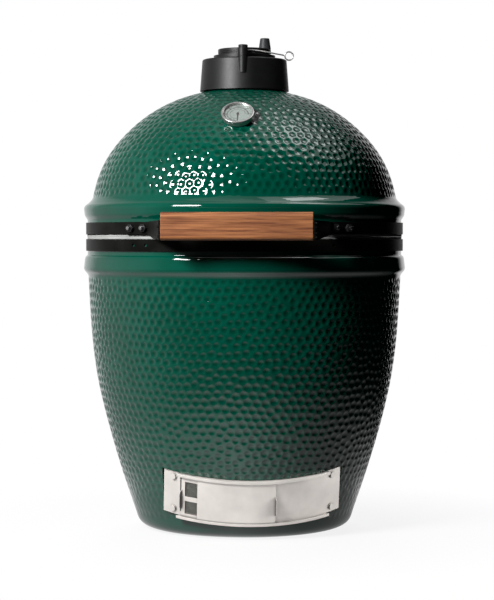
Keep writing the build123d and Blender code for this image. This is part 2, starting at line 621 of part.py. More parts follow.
with BuildPart() as handle_nuts:
    for side in (-1, 1):
        for bolt_angle in STRAP_BOLT_ANGLES:
            with BuildSketch(facing_out(CARRIAGE_NUT_SEAT, side * bolt_angle, dome_band_middle)):
                RegularPolygon(CARRIAGE_NUT_HALF, 6, major_radius=False)
                Circle(STRAP_BOLT_RADIUS + THREAD, mode=Mode.SUBTRACT)
            extrude(amount=CARRIAGE_NUT_HEIGHT)

# ---------------------------------------------------------------- draft door
# Two thin doors slide in rails around the tilted axis. Each has a tab bent out to grip.
WINDOW_START, WINDOW_END = -34.2, -1.0
RAIL_OUTER = 222.0
LIP = 4.5
SCREEN_INNER, SOLID_INNER = 216.2, 218.4
DOOR_BOTTOM, DOOR_TOP = -39.0, 36.5
SOLID_START, SOLID_END = -25.3, 8.9
SCREEN_START, SCREEN_END = -33.2, 1.0
TAB_BOTTOM, TAB_TOP, TAB_REACH = -25.0, 11.0, 8.5
MESH_WINDOWS = ((-32.0, -9.0), (-1.0, 25.0))
WINDOW_MARGIN = 1.8           # degrees of frame beside each window
TAB_SLOPE = 6.0
SLOT_LENGTH, SLOT_WIDTH = 12.0, 6.0
WASHER_RADIUS, WASHER = 6.0, 0.8
FRAME_SCREW_HEAD = 4.8

with BuildPart() as draft_door_frame:
    with BuildSketch(DOOR_PLANE.offset(-FRAME_HALF_HEIGHT)):
        add(ring_sector(FRAME_INNER, FRAME_OUTER, -FRAME_HALF_ANGLE, FRAME_HALF_ANGLE))
    extrude(amount=2 * FRAME_HALF_HEIGHT)
    # Rails: a floor and a roof standing out from the plate, each with a lip that holds the doors
    rail_levels = ((-FRAME_HALF_HEIGHT - 3, 1.2, LIP), (FRAME_HALF_HEIGHT, -1.2, -LIP))
    for level, floor_height, lip_height in rail_levels:
        with BuildSketch(DOOR_PLANE.offset(level)):
            add(ring_sector(FRAME_INNER, RAIL_OUTER, -RAIL_HALF_ANGLE, RAIL_HALF_ANGLE))
        extrude(amount=floor_height)
        with BuildSketch(DOOR_PLANE.offset(level)):
            add(ring_sector(RAIL_OUTER - 1.2, RAIL_OUTER, -RAIL_HALF_ANGLE, RAIL_HALF_ANGLE))
        extrude(amount=lip_height)
    with BuildSketch(DOOR_PLANE.offset(-FRAME_HALF_HEIGHT - 3)):
        add(ring_sector(FRAME_INNER, FRAME_OUTER, -RAIL_HALF_ANGLE, RAIL_HALF_ANGLE))
    extrude(amount=3.5)
    with BuildSketch(DOOR_PLANE.offset(-31)):
        add(ring_sector(FRAME_INNER - 2, FRAME_OUTER + 1, WINDOW_START, WINDOW_END))
    extrude(amount=60, mode=Mode.SUBTRACT)
    for side_angle in (-FRAME_SCREW_ANGLE, FRAME_SCREW_ANGLE):
        for screw_height in FRAME_SCREW_HEIGHTS:
            with BuildSketch(door_facing_out(FRAME_INNER - 1, side_angle, screw_height)):
                SlotOverall(SLOT_LENGTH, SLOT_WIDTH)
            extrude(amount=8, mode=Mode.SUBTRACT)


def finger_tab():
    """Chamfered tab that stands out from a door's edge."""
    with BuildSketch(mode=Mode.PRIVATE) as outline:
        Polygon(
            (0, -TAB_TOP), (TAB_REACH, TAB_SLOPE - TAB_TOP),
            (TAB_REACH, -TAB_BOTTOM - TAB_SLOPE), (0, -TAB_BOTTOM), align=None,
        )
    return outline.sketch


with BuildPart() as draft_door:
    with BuildSketch(DOOR_PLANE.offset(DOOR_BOTTOM)):
        add(ring_sector(SOLID_INNER, SOLID_INNER + DOOR_SHEET, SOLID_START, SOLID_END))
    extrude(amount=DOOR_TOP - DOOR_BOTTOM)
    with BuildSketch(door_edge(SOLID_INNER, SOLID_END)):
        add(finger_tab())
    extrude(amount=-DOOR_SHEET)

with BuildPart() as screen_door:
    with BuildSketch(DOOR_PLANE.offset(DOOR_BOTTOM)):
        add(ring_sector(SCREEN_INNER, SCREEN_INNER + DOOR_SHEET, SCREEN_START, SCREEN_END))
    extrude(amount=DOOR_TOP - DOOR_BOTTOM)
    for window_bottom, window_top in MESH_WINDOWS:
        with BuildSketch(DOOR_PLANE.offset(window_bottom)):
            window_start, window_end = SCREEN_START + WINDOW_MARGIN, SCREEN_END - WINDOW_MARGIN
            add(ring_sector(SCREEN_INNER - 1, SCREEN_INNER + 3, window_start, window_end))
        extrude(amount=window_top - window_bottom, mode=Mode.SUBTRACT)
    with BuildSketch(door_edge(SCREEN_INNER, SCREEN_START)):
        add(finger_tab())
    extrude(amount=DOOR_SHEET)

with BuildPart() as screen_mesh:
    mesh_bottom = MESH_WINDOWS[0][0] - 2
    mesh_top = MESH_WINDOWS[1][1] + 2
    with BuildSketch(DOOR_PLANE.offset(mesh_bottom)):
        add(ring_sector(SCREEN_INNER - 0.7, SCREEN_INNER - 0.1, SCREEN_START + 1, SCREEN_END - 1))
    extrude(amount=mesh_top - mesh_bottom)

with BuildPart() as frame_washers:
    for side_angle in (-FRAME_SCREW_ANGLE, FRAME_SCREW_ANGLE):
        for screw_height in FRAME_SCREW_HEIGHTS:
            with BuildSketch(door_facing_out(FRAME_OUTER + 0.15, side_angle, screw_height)):
                Circle(WASHER_RADIUS)
                Circle(FRAME_SCREW_RADIUS + 0.2, mode=Mode.SUBTRACT)
            extrude(amount=WASHER)

with BuildPart() as frame_screws:
    for side_angle in (-FRAME_SCREW_ANGLE, FRAME_SCREW_ANGLE):
        for screw_height in FRAME_SCREW_HEIGHTS:
            head_plane = door_facing_out(FRAME_OUTER + 0.2 + WASHER, side_angle, screw_height)
            with BuildSketch(head_plane):
                Circle(FRAME_SCREW_HEAD)
            extrude(amount=2.4)
            with BuildSketch(head_plane):
                Circle(FRAME_SCREW_RADIUS)
            extrude(amount=-FRAME_SCREW_LENGTH)

# ---------------------------------------------------------------- thermometer
CASE_RADIUS = 27.25
CASE_BACK = 1.2
CASE_FRONT = 11.5
STEM_RADIUS = 3.2

with BuildPart() as thermometer_case:
    with BuildSketch(DIAL_PLANE.offset(CASE_BACK)):
        Circle(CASE_RADIUS - 1.5)
    extrude(amount=CASE_FRONT - CASE_BACK)
    with BuildSketch(DIAL_PLANE.offset(CASE_FRONT - 3.5)):
        Circle(CASE_RADIUS)
    extrude(amount=3.5)
    fillet(thermometer_case.faces().sort_by(DIAL_AXIS)[-1].edges(), radius=1.2)
    with BuildSketch(DIAL_PLANE.offset(CASE_BACK + 1)):
        Circle(CASE_RADIUS - 3)
    extrude(amount=CASE_FRONT, mode=Mode.SUBTRACT)
    with BuildSketch(DIAL_PLANE.offset(CASE_FRONT - 1)):
        Circle(CASE_RADIUS - 2)
        Circle(CASE_RADIUS - 4, mode=Mode.SUBTRACT)
    extrude(amount=-0.8)
    with BuildSketch(DIAL_PLANE):
        Circle(STEM_RADIUS + FIT)
    extrude(amount=5, mode=Mode.SUBTRACT)

with BuildPart() as thermometer_stem:
    with BuildSketch(DIAL_PLANE.offset(3.5)):
        Circle(STEM_RADIUS)
    extrude(amount=-105)
    with BuildSketch(DIAL_PLANE.offset(CASE_BACK - TOUCH)):
        RegularPolygon(5, 6)
    extrude(amount=-8)
    fillet(thermometer_stem.faces().sort_by(DIAL_AXIS)[0].edges(), radius=2)

with BuildPart() as thermometer_clip:
    with BuildSketch(Plane(origin=DIAL_PLANE.origin, x_dir=DIAL_PLANE.x_dir, z_dir=-DIAL_PLANE.y_dir)):
        with BuildLine():
            Polyline((3.3, -31), (12, -28), (12, -26.8), (3.3, -29.8), close=True)
        make_face()
    revolve(axis=DIAL_AXIS)

DIAL_LEVEL = 6.0
NEEDLE_LEVEL = 7.4

with BuildPart() as thermometer_dial:
    with BuildSketch(DIAL_PLANE.offset(DIAL_LEVEL)):
        Circle(CASE_RADIUS - 3.1)
        Circle(1.2, mode=Mode.SUBTRACT)
    extrude(amount=0.8)

with BuildPart() as thermometer_needle:
    with BuildSketch(DIAL_PLANE.offset(NEEDLE_LEVEL)):
        Polygon((-0.9, 4), (0.9, 4), (0.35, -17), (-0.35, -17), align=None)
        Circle(2)
    extrude(amount=0.6)
    with BuildSketch(DIAL_PLANE.offset(NEEDLE_LEVEL)):
        Circle(1.1)
    extrude(amount=3.7 - NEEDLE_LEVEL)

with BuildPart() as thermometer_lens:
    with BuildSketch(DIAL_PLANE.offset(CASE_FRONT - 3.2)):
        Circle(CASE_RADIUS - 3.1)
    extrude(amount=1.3)

# ---------------------------------------------------------------- vent cap
CAP_FOOT_RADIUS = 76.6
CAP_TOP_RADIUS = 72.7
CAP_OPENING = 42.0
BOSS_WIDTH = 18.0
LID_BOTTOM = CAP_TOP + 0.4
PLATE_BOTTOM, PLATE_TOP = 812.0, 816.0
FLANGE_RADIUS, DRUM_RADIUS = 53.0, 45.5
WHEEL_BOTTOM, WHEEL_TOP = 816.3, 821.0
PORT_RADIUS, PORT_CIRCLE, PORTS = 8.0, 25.0, 5
PIVOT_BOLT_RADIUS = 3.0
EAR_TOP = 818.0
KNOB_X = 35.0
LEVER_WIRE = 1.3
LEVER_START = (3.0, -57.0, 814.5)
LEVER_LOOP = 7.0
LEVER_LOOP_CENTRE = (77.5, -57.0, 804.5)
FLANGE_SCREW_AT = (16.0, -47.4)
FLANGE_SCREW_RADIUS = 1.5

with BuildPart() as vent_cap_body:
    with BuildSketch(Plane.XZ):
        with BuildLine():
            Line((CAP_FOOT_RADIUS, CAP_SEAT), (CAP_TOP_RADIUS, CAP_TOP - 3))
            RadiusArc((CAP_TOP_RADIUS, CAP_TOP - 3), (CAP_TOP_RADIUS - 3, CAP_TOP), -3)
            Line((CAP_TOP_RADIUS - 3, CAP_TOP), (CAP_OPENING, CAP_TOP))
            Line((CAP_OPENING, CAP_TOP), (CAP_OPENING, CAP_TOP - 6))
            Line((CAP_OPENING, CAP_TOP - 6), (68, CAP_TOP - 6))
            Line((68, CAP_TOP - 6), (71.5, CAP_SEAT))
            Line((71.5, CAP_SEAT), (CAP_FOOT_RADIUS, CAP_SEAT))
        make_face()
    revolve(axis=Axis.Z)
    # Boss for the lid's pivot bolt, standing on the inside and outside of the skirt
    with BuildSketch(Plane.XY.offset(776)):
        with Locations((0, LID_PIVOT_Y)):
            Circle(BOSS_WIDTH / 2)
        Circle(NECK_RADIUS + 1, mode=Mode.SUBTRACT)
    extrude(amount=CAP_TOP - 776)
    with BuildSketch(Plane.XY.offset(780)):
        with Locations((0, LID_PIVOT_Y)):
            Circle(PIVOT_BOLT_RADIUS + 0.02)
    extrude(amount=40, mode=Mode.SUBTRACT)

with BuildPart() as vent_cap_seal:
    with BuildSketch(Plane.XZ):
        with BuildLine():
            Polyline((62.3, 753), (70.6, 753), (69.6, 770), (62.3, 770), close=True)
        make_face()
    revolve(axis=Axis.Z)

with BuildPart() as vent_lid:
    with BuildSketch(Plane.XY.offset(LID_BOTTOM)):
        Circle(FLANGE_RADIUS)
        Circle(DRUM_RADIUS - 5, mode=Mode.SUBTRACT)
    extrude(amount=6.6)
    with BuildSketch(Plane.XY.offset(LID_BOTTOM)):
        Circle(DRUM_RADIUS)
        Circle(DRUM_RADIUS - 5, mode=Mode.SUBTRACT)
    extrude(amount=PLATE_TOP - LID_BOTTOM)
    with BuildSketch(Plane.XY.offset(PLATE_BOTTOM)):
        Circle(DRUM_RADIUS)
        with PolarLocations(PORT_CIRCLE, PORTS):
            Circle(PORT_RADIUS, mode=Mode.SUBTRACT)
    extrude(amount=PLATE_TOP - PLATE_BOTTOM)
    # Groove around the drum, then the ear that carries the lid on its pivot bolt
    with BuildSketch(Plane.XY.offset(812)):
        Circle(DRUM_RADIUS + 1)
        Circle(DRUM_RADIUS - 1.2, mode=Mode.SUBTRACT)
    extrude(amount=1.6, mode=Mode.SUBTRACT)
    with BuildSketch(Plane.XY.offset(LID_BOTTOM)):
        with Locations((0, LID_PIVOT_Y)):
            Circle(BOSS_WIDTH / 2)
        with Locations((0, (LID_PIVOT_Y - DRUM_RADIUS) / 2)):
            Rectangle(BOSS_WIDTH - 2, -LID_PIVOT_Y - DRUM_RADIUS + 2)
    extrude(amount=EAR_TOP - LID_BOTTOM)
    with BuildSketch(Plane.XY.offset(WHEEL_BOTTOM - 0.3)):
        Circle(DRUM_RADIUS + 0.6)
    extrude(amount=10, mode=Mode.SUBTRACT)
    with BuildSketch(Plane.XY.offset(LID_BOTTOM)):
        Circle(PIVOT_BOLT_RADIUS + 0.02)
        with Locations((0, LID_PIVOT_Y)):
            Circle(PIVOT_BOLT_RADIUS + FIT)
        with Locations(FLANGE_SCREW_AT):
            Circle(FLANGE_SCREW_RADIUS + 0.02)
    extrude(amount=20, mode=Mode.SUBTRACT)
    with BuildSketch(Plane(origin=LEVER_START, z_dir=(1, 0, 0))):
        Circle(LEVER_WIRE + 0.02)
    extrude(amount=20, mode=Mode.SUBTRACT)

with BuildPart() as lid_pivot_bolt:
    with BuildSketch(Plane.XY.offset(782)):
        with Locations((0, LID_PIVOT_Y)):
            Circle(PIVOT_BOLT_RADIUS)
    extrude(amount=EAR_TOP + 0.15 - 782)
    with BuildSketch(Plane.XY.offset(EAR_TOP + 0.15)):
        with Locations((0, LID_PIVOT_Y)):
            Circle(8)
    extrude(amount=5)
    fillet(lid_pivot_bolt.faces().sort_by(Axis.Z)[-1].edges(), radius=1.5)
    with BuildSketch(Plane.XY.offset(EAR_TOP + 2.5)):
        with Locations((0, LID_PIVOT_Y)):
            RegularPolygon(2.5, 6, major_radius=False)
    extrude(amount=5, mode=Mode.SUBTRACT)

with BuildPart() as damper_wheel:
    with BuildSketch(Plane.XY.offset(WHEEL_BOTTOM)):
        Circle(DRUM_RADIUS)
        with PolarLocations(PORT_CIRCLE, PORTS, start_angle=180 / PORTS):
            Circle(PORT_RADIUS, mode=Mode.SUBTRACT)
        Circle(PIVOT_BOLT_RADIUS + FIT, mode=Mode.SUBTRACT)
        with Locations((KNOB_X, 0)):
            Circle(2.1, mode=Mode.SUBTRACT)
    extrude(amount=WHEEL_TOP - WHEEL_BOTTOM)
    fillet(damper_wheel.faces().sort_by(Axis.Z)[-1].outer_wire().edges(), radius=1.2)
    with BuildSketch(Plane.XY.offset(WHEEL_BOTTOM)):
        with Locations((KNOB_X, 0)):
            Circle(4.2)
    extrude(amount=2.2, mode=Mode.SUBTRACT)

with BuildPart() as wheel_bolt:
    with BuildSketch(Plane.XY.offset(WHEEL_TOP + 0.15)):
        Circle(7)
    extrude(amount=3.6)
    fillet(wheel_bolt.faces().sort_by(Axis.Z)[-1].edges(), radius=1.5)
    with BuildSketch(Plane.XY.offset(WHEEL_TOP + 0.15)):
        Circle(PIVOT_BOLT_RADIUS)
    extrude(amount=-17)

with BuildPart() as wheel_nut:
    with BuildSketch(Plane.XY.offset(PLATE_BOTTOM - TOUCH)):
        RegularPolygon(5, 6, major_radius=False)
        Circle(PIVOT_BOLT_RADIUS + 0.02, mode=Mode.SUBTRACT)
    extrude(amount=-5)

with BuildPart() as vent_knob:
    knob_base = WHEEL_TOP + TOUCH
    with BuildSketch(Plane.XZ):
        with Locations((KNOB_X, knob_base)):
            Polygon((0, 0), (10.5, 0), (10.2, 3), (8, 17.9), (7, 18.9), (0, 18.9), align=None)
    revolve(axis=Axis((KNOB_X, 0, 0), (0, 0, 1)))
    with BuildSketch(Plane.XY.offset(knob_base)):
        with Locations((KNOB_X, 0)):
            Circle(2.02)
    extrude(amount=12, mode=Mode.SUBTRACT)

with BuildPart() as knob_screw:
    with BuildSketch(Plane.XY.offset(WHEEL_BOTTOM + 0.2)):
        with Locations((KNOB_X, 0)):
            Circle(4)
    extrude(amount=1.8)
    with BuildSketch(Plane.XY.offset(WHEEL_BOTTOM + 0.2)):
        with Locations((KNOB_X, 0)):
            Circle(2)
    extrude(amount=15)

with BuildPart() as vent_lever:
    elbow_point = (12, LEVER_START[1], LEVER_START[2])
    loop_edge = (LEVER_LOOP_CENTRE[0] - LEVER_LOOP, LEVER_LOOP_CENTRE[1], LEVER_LOOP_CENTRE[2] + 1)
    with BuildLine(mode=Mode.PRIVATE) as lever_path:
        Line(LEVER_START, elbow_point)
        Spline(elbow_point, (40, -59, 811), loop_edge, tangents=[(1, 0, 0), (1, 0.03, -0.2)])
    with BuildSketch(Plane(origin=LEVER_START, z_dir=(1, 0, 0))):
        Circle(LEVER_WIRE)
    sweep(path=lever_path.wires()[0])
    with Locations(Plane(origin=LEVER_LOOP_CENTRE, z_dir=(0, 1, 0))):
        Torus(LEVER_LOOP, LEVER_WIRE)

with BuildPart() as flange_screw:
    flange_top = LID_BOTTOM + 6.6
    with BuildSketch(Plane.XY.offset(flange_top + TOUCH)):
        with Locations(FLANGE_SCREW_AT):
            Circle(3.2)
    extrude(amount=2.4)
    with BuildSketch(Plane.XY.offset(flange_top + TOUCH)):
        with Locations(FLANGE_SCREW_AT):
            Circle(FLANGE_SCREW_RADIUS)
    extrude(amount=-5)

PIECES = {
    "base_shell": base_shell,
    "dome_shell": dome_shell,
    "fire_box": fire_box,
    "fire_grate": fire_grate,
    "fire_ring": fire_ring,
    "cooking_grid": cooking_grid,
    "base_gasket": base_gasket,
    "dome_gasket": dome_gasket,
    "base_band": base_band,
    "dome_band": dome_band,
    "lower_hinge_bracket": lower_hinge_bracket,
    "upper_hinge_bracket": upper_hinge_bracket,
    "hinge_pin": hinge_pin,
    "hinge_pin_nut": hinge_pin_nut,
    "hinge_sleeve": hinge_sleeve,
    "torsion_spring_left": torsion_spring_left,
    "torsion_spring_right": torsion_spring_right,
    "base_band_bolts": base_band_bolts,
    "base_band_nuts": base_band_nuts,
    "dome_band_bolts": dome_band_bolts,
    "dome_band_nuts": dome_band_nuts,
    "handle_bar": handle_bar,
    "handle_bracket_left": handle_bracket_left,
    "handle_bracket_right": handle_bracket_right,
    "handle_end_screws": handle_end_screws,
    "handle_bolts": handle_bolts,
    "handle_nuts": handle_nuts,
    "draft_door_frame": draft_door_frame,
    "draft_door": draft_door,
    "screen_door": screen_door,
    "screen_mesh": screen_mesh,
    "frame_washers": frame_washers,
    "frame_screws": frame_screws,
    "thermometer_case": thermometer_case,
    "thermometer_stem": thermometer_stem,
    "thermometer_clip": thermometer_clip,
    "thermometer_dial": thermometer_dial,
    "thermometer_needle": thermometer_needle,
    "thermometer_lens": thermometer_lens,
    "vent_cap_body": vent_cap_body,
    "vent_cap_seal": vent_cap_seal,
    "vent_lid": vent_lid,
    "lid_pivot_bolt": lid_pivot_bolt,
    "damper_wheel": damper_wheel,
    "wheel_bolt": wheel_bolt,
    "wheel_nut": wheel_nut,
    "vent_knob": vent_knob,
    "knob_screw": knob_screw,
    "vent_lever": vent_lever,
    "flange_screw": flange_screw,
}

for name, piece in PIECES.items():
    piece.part.label = name
    export_step(piece.part, f"parts/{name}.step")
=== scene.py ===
import json
import math

import bmesh
import bpy
import numpy as np
from mathutils import Matrix, Vector
from mathutils.kdtree import KDTree


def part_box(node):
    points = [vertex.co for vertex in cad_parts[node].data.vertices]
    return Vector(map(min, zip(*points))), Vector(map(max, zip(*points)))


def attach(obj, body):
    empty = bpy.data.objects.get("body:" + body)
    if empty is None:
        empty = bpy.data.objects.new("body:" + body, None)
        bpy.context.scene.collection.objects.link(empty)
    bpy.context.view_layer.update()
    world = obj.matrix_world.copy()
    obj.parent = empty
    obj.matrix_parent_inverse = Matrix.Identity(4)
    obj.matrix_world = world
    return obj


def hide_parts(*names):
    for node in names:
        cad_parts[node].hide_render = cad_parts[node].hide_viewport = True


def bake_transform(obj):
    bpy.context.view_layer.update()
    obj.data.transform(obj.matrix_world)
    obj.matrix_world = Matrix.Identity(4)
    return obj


# A kamado ceramic grill. Metres, Z up, the front faces -Y, as in the frame.
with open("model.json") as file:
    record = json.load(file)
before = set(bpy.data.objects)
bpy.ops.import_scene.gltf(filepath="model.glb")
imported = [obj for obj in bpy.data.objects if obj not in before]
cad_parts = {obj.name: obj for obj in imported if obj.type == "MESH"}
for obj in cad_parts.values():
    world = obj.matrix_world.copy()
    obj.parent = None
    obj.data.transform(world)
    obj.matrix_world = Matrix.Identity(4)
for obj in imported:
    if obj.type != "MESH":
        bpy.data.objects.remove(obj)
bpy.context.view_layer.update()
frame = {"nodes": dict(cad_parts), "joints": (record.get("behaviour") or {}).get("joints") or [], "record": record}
SCENE = bpy.context.scene
MM = 0.001
EDGE = 0.6 * MM               # radius that worn and coated edges seem to have


# ---------------------------------------------------------------- shader building
def node(tree, kind, **inputs):
    """A new node, with its inputs set by name, or by number as i0, i1 and so on."""
    made = tree.nodes.new(kind)
    for key, value in inputs.items():
        numbered = key[0] == "i" and key[1:].isdigit()
        socket = made.inputs[int(key[1:]) if numbered else key.replace("_", " ")]
        if isinstance(value, bpy.types.NodeSocket):
            tree.links.new(value, socket)
        else:
            socket.default_value = value
    return made


def compute(tree, kind, operation, first, second=None):
    """A Math or VectorMath node of one operation, on one or two values."""
    made = tree.nodes.new(kind)
    made.operation = operation
    for socket, value in zip(made.inputs, (first, second)):
        if isinstance(value, bpy.types.NodeSocket):
            tree.links.new(value, socket)
        elif value is not None:
            socket.default_value = value
    return made.outputs["Value" if operation in ("DOT_PRODUCT", "LENGTH") else 0]


def scale_by(tree, vector, share):
    """A vector or colour times a number."""
    made = node(tree, "ShaderNodeVectorMath", i0=vector)
    made.operation = "SCALE"
    tree.links.new(share, made.inputs["Scale"])
    return made.outputs[0]


def rgba(color):
    return (*color, 1.0)


def place(tree, scale=(1, 1, 1)):
    """Object coordinates, stretched."""
    where = tree.nodes.new("ShaderNodeTexCoord")
    return node(tree, "ShaderNodeMapping", Vector=where.outputs["Object"], Scale=scale).outputs["Vector"]


def noise(tree, where, scale, detail=3.0, rough=0.5):
    made = node(tree, "ShaderNodeTexNoise", Vector=where, Scale=scale, Detail=detail, Roughness=rough)
    return made.outputs["Fac"]


def mix_colors(tree, share, first, second, blend="MIX"):
    """Colour between two, each a socket or a plain colour."""
    made = node(tree, "ShaderNodeMix")
    made.data_type = "RGBA"
    made.blend_type = blend
    for index, value in ((0, share), (6, first), (7, second)):
        if isinstance(value, bpy.types.NodeSocket):
            tree.links.new(value, made.inputs[index])
        else:
            made.inputs[index].default_value = value
    return made.outputs[2]


def ramp(tree, factor, low, high, first, last):
    """Colour from first to last as factor goes from low to high."""
    made = node(tree, "ShaderNodeValToRGB", Fac=factor)
    made.color_ramp.elements[0].position = low
    made.color_ramp.elements[1].position = high
    made.color_ramp.elements[0].color = rgba(first)
    made.color_ramp.elements[1].color = rgba(last)
    return made.outputs["Color"]


def spread(tree, factor, low, high, first, last):
    """Number from first to last as factor goes from low to high."""
    made = node(tree, "ShaderNodeMapRange", Value=factor, i1=low, i2=high, i3=first, i4=last)
    return made.outputs[0]


def bump(tree, height, distance, strength=1.0, edge=0.0):
    """Normals from a height. An edge radius also rounds the look of sharp edges."""
    made = node(tree, "ShaderNodeBump", Height=height, Distance=distance, Strength=strength)
    if edge:
        rounded = node(tree, "ShaderNodeBevel", Radius=edge)
        tree.links.new(rounded.outputs["Normal"], made.inputs["Normal"])
    return made.outputs["Normal"]


def mix_shaders(tree, share, first, second):
    return node(tree, "ShaderNodeMixShader", i0=share, i1=first, i2=second).outputs[0]


def surface(name, **inputs):
    """A material with one Principled shader, and its tree."""
    material = bpy.data.materials.new(name)
    material.use_nodes = True
    tree = material.node_tree
    shader = tree.nodes["Principled BSDF"]
    for key, value in inputs.items():
        shader.inputs[key.replace("_", " ")].default_value = value
    return material, tree, shader


def feed(tree, shader, **links):
    for key, output in links.items():
        tree.links.new(output, shader.inputs[key.replace("_", " ")])


def make_glaze():
    """Deep green glossy glaze: thinner and lighter on the ridges between dimples, pooled dark in them."""
    material, tree, shader = surface("green_glaze", Roughness=0.4, IOR=1.5)
    shader.inputs["Specular IOR Level"].default_value = 0.0
    shader.inputs["Coat Weight"].default_value = 1.0
    shader.inputs["Coat Roughness"].default_value = 0.035
    shader.inputs["Coat IOR"].default_value = 1.58
    where = place(tree)
    clouds = noise(tree, where, 9.0, 4.0)
    body = ramp(tree, clouds, 0.3, 0.7, (0.0, 0.056, 0.034), (0.0, 0.076, 0.048))
    dimple = node(tree, "ShaderNodeAttribute")
    dimple.attribute_name = "dimple"
    pooled = mix_colors(tree, dimple.outputs["Fac"], body, rgba((0.0, 0.042, 0.024)))
    speckle = noise(tree, where, 900.0, 2.0)
    feed(
        tree, shader, Base_Color=pooled,
        Roughness=spread(tree, noise(tree, where, 160.0), 0.3, 0.7, 0.26, 0.4),
        Normal=bump(tree, speckle, 0.00004, 0.4),
        Coat_Normal=bump(tree, noise(tree, where, 70.0, 3.0), 0.00035, 0.5),
    )
    return material


def make_coated(name, color, roughness, grain=900.0, depth=0.00012, gloss=0.3):
    """Powder coat or cast iron under satin paint."""
    material, tree, shader = surface(name, Metallic=0.0, IOR=1.5)
    shader.inputs["Specular IOR Level"].default_value = gloss
    where = place(tree)
    fine = noise(tree, where, grain, 3.0)
    wide = noise(tree, where, 30.0, 4.0)
    lighter = tuple(min(1.0, c * 1.9 + 0.004) for c in color)
    feed(
        tree, shader, Base_Color=ramp(tree, wide, 0.35, 0.75, color, lighter),
        Roughness=spread(tree, fine, 0.3, 0.7, roughness - 0.07, roughness + 0.08),
        Normal=bump(tree, fine, depth, 0.6, EDGE),
    )
    return material


def make_metal(name, color, roughness, stretch=(1, 1, 1), streak=0.08, scale=600.0, metallic=1.0):
    """Bare metal: stretch drags the noise into brushing lines."""
    material, tree, shader = surface(name, Metallic=metallic)
    lines = noise(tree, place(tree, stretch), scale, 4.0, 0.65)
    blotch = noise(tree, place(tree), 24.0, 3.0)
    darker = tuple(c * 0.82 for c in color)
    feed(
        tree, shader, Base_Color=ramp(tree, blotch, 0.3, 0.7, darker, color),
        Roughness=spread(tree, lines, 0.3, 0.7, roughness - streak, roughness + streak),
        Normal=bump(tree, lines, 0.00002, 0.5, EDGE),
    )
    return material


def paint_shade_in_grooves_and_sides(material, groove, dark):
    """Paints shade into the base colour: darker in grooves, and on faces that look sideways or down instead of
    outward from the grill.
    """
    tree = material.node_tree
    shader = tree.nodes["Principled BSDF"]
    color = shader.inputs["Base Color"].links[0].from_socket
    open_share = node(tree, "ShaderNodeAmbientOcclusion", Distance=groove).outputs["AO"]
    here = tree.nodes.new("ShaderNodeNewGeometry")
    normal = here.outputs["True Normal"]
    flat = compute(tree, "ShaderNodeVectorMath", "MULTIPLY", here.outputs["Position"], (1.0, 1.0, 0.0))
    outward = compute(tree, "ShaderNodeVectorMath", "NORMALIZE", flat)
    facing = compute(tree, "ShaderNodeVectorMath", "DOT_PRODUCT", outward, normal)
    upward = node(tree, "ShaderNodeSeparateXYZ", Vector=normal).outputs["Z"]
    either = compute(tree, "ShaderNodeMath", "MAXIMUM", facing, upward)
    # painted shade: the base colour is darkened on faces turned sideways or down, and in grooves found by ambient
    # occlusion
    painted_side_shade = spread(tree, either, 0.4, 0.8, dark, 1.0)
    painted_groove_shade = spread(tree, open_share, 0.2, 0.9, 0.3, 1.0)
    share = compute(tree, "ShaderNodeMath", "MULTIPLY", painted_side_shade, painted_groove_shade)
    tree.links.new(scale_by(tree, color, share), shader.inputs["Base Color"])


def make_wood():
    """Reddish oiled hardwood, with the grain along the bar."""
    material, tree, shader = surface("handle_wood", IOR=1.45)
    grain = noise(tree, place(tree, (5.0, 60.0, 130.0)), 1.6, 6.0, 0.62)
    fibre = noise(tree, place(tree, (20.0, 420.0, 700.0)), 1.0, 4.0, 0.6)
    base = ramp(tree, grain, 0.36, 0.64, (0.155, 0.045, 0.017), (0.49, 0.195, 0.072))
    pores = ramp(tree, fibre, 0.34, 0.62, (0.55, 0.47, 0.42), (1, 1, 1))
    feed(
        tree, shader, Base_Color=mix_colors(tree, 0.55, base, pores, "MULTIPLY"),
        Roughness=spread(tree, fibre, 0.3, 0.7, 0.42, 0.62),
        Normal=bump(tree, fibre, 0.0002, 0.5, 2 * EDGE),
    )
    return material


def make_felt():
    material, tree, shader = surface("felt", Roughness=0.95)
    where = place(tree, (1, 1, 2.5))
    fibres = noise(tree, where, 700.0, 6.0, 0.75)
    stains = noise(tree, where, 22.0, 3.0)
    base = ramp(tree, stains, 0.3, 0.75, (0.30, 0.31, 0.295), (0.47, 0.48, 0.465))
    shader.inputs["Sheen Weight"].default_value = 0.3
    feed(tree, shader, Base_Color=base, Normal=bump(tree, fibres, 0.0006, 0.8))
    return material


def make_clay(name, light, dark):
    material, tree, shader = surface(name, Roughness=0.9)
    where = place(tree)
    feed(
        tree, shader, Base_Color=ramp(tree, noise(tree, where, 40.0, 6.0), 0.3, 0.7, dark, light),
        Normal=bump(tree, noise(tree, where, 500.0, 5.0), 0.0004, 0.7),
    )
    return material


def make_dial_print():
    material, tree, shader = surface("dial_face", Metallic=0.35, Roughness=0.38)
    lines = noise(tree, place(tree, (1, 40, 40)), 60.0, 3.0)
    feed(tree, shader, Base_Color=ramp(tree, lines, 0.3, 0.7, (0.37, 0.40, 0.385), (0.50, 0.53, 0.51)))
    return material


def make_glass():
    """Thin clear glass, mirror-like only at a slant."""
    material = bpy.data.materials.new("lens_glass")
    material.use_nodes = True
    tree = material.node_tree
    tree.nodes.clear()
    out = tree.nodes.new("ShaderNodeOutputMaterial")
    clear = node(tree, "ShaderNodeBsdfTransparent", Color=rgba((0.96, 0.98, 0.97)))
    dust = noise(tree, place(tree), 300.0, 3.0)
    shine = node(tree, "ShaderNodeBsdfGlossy", Roughness=spread(tree, dust, 0.3, 0.7, 0.01, 0.05))
    slant = node(tree, "ShaderNodeLayerWeight", Blend=0.5)
    share = spread(tree, slant.outputs["Facing"], 0.3, 1.0, 0.03, 0.5)
    tree.links.new(mix_shaders(tree, share, clear.outputs[0], shine.outputs[0]), out.inputs["Surface"])
    return material


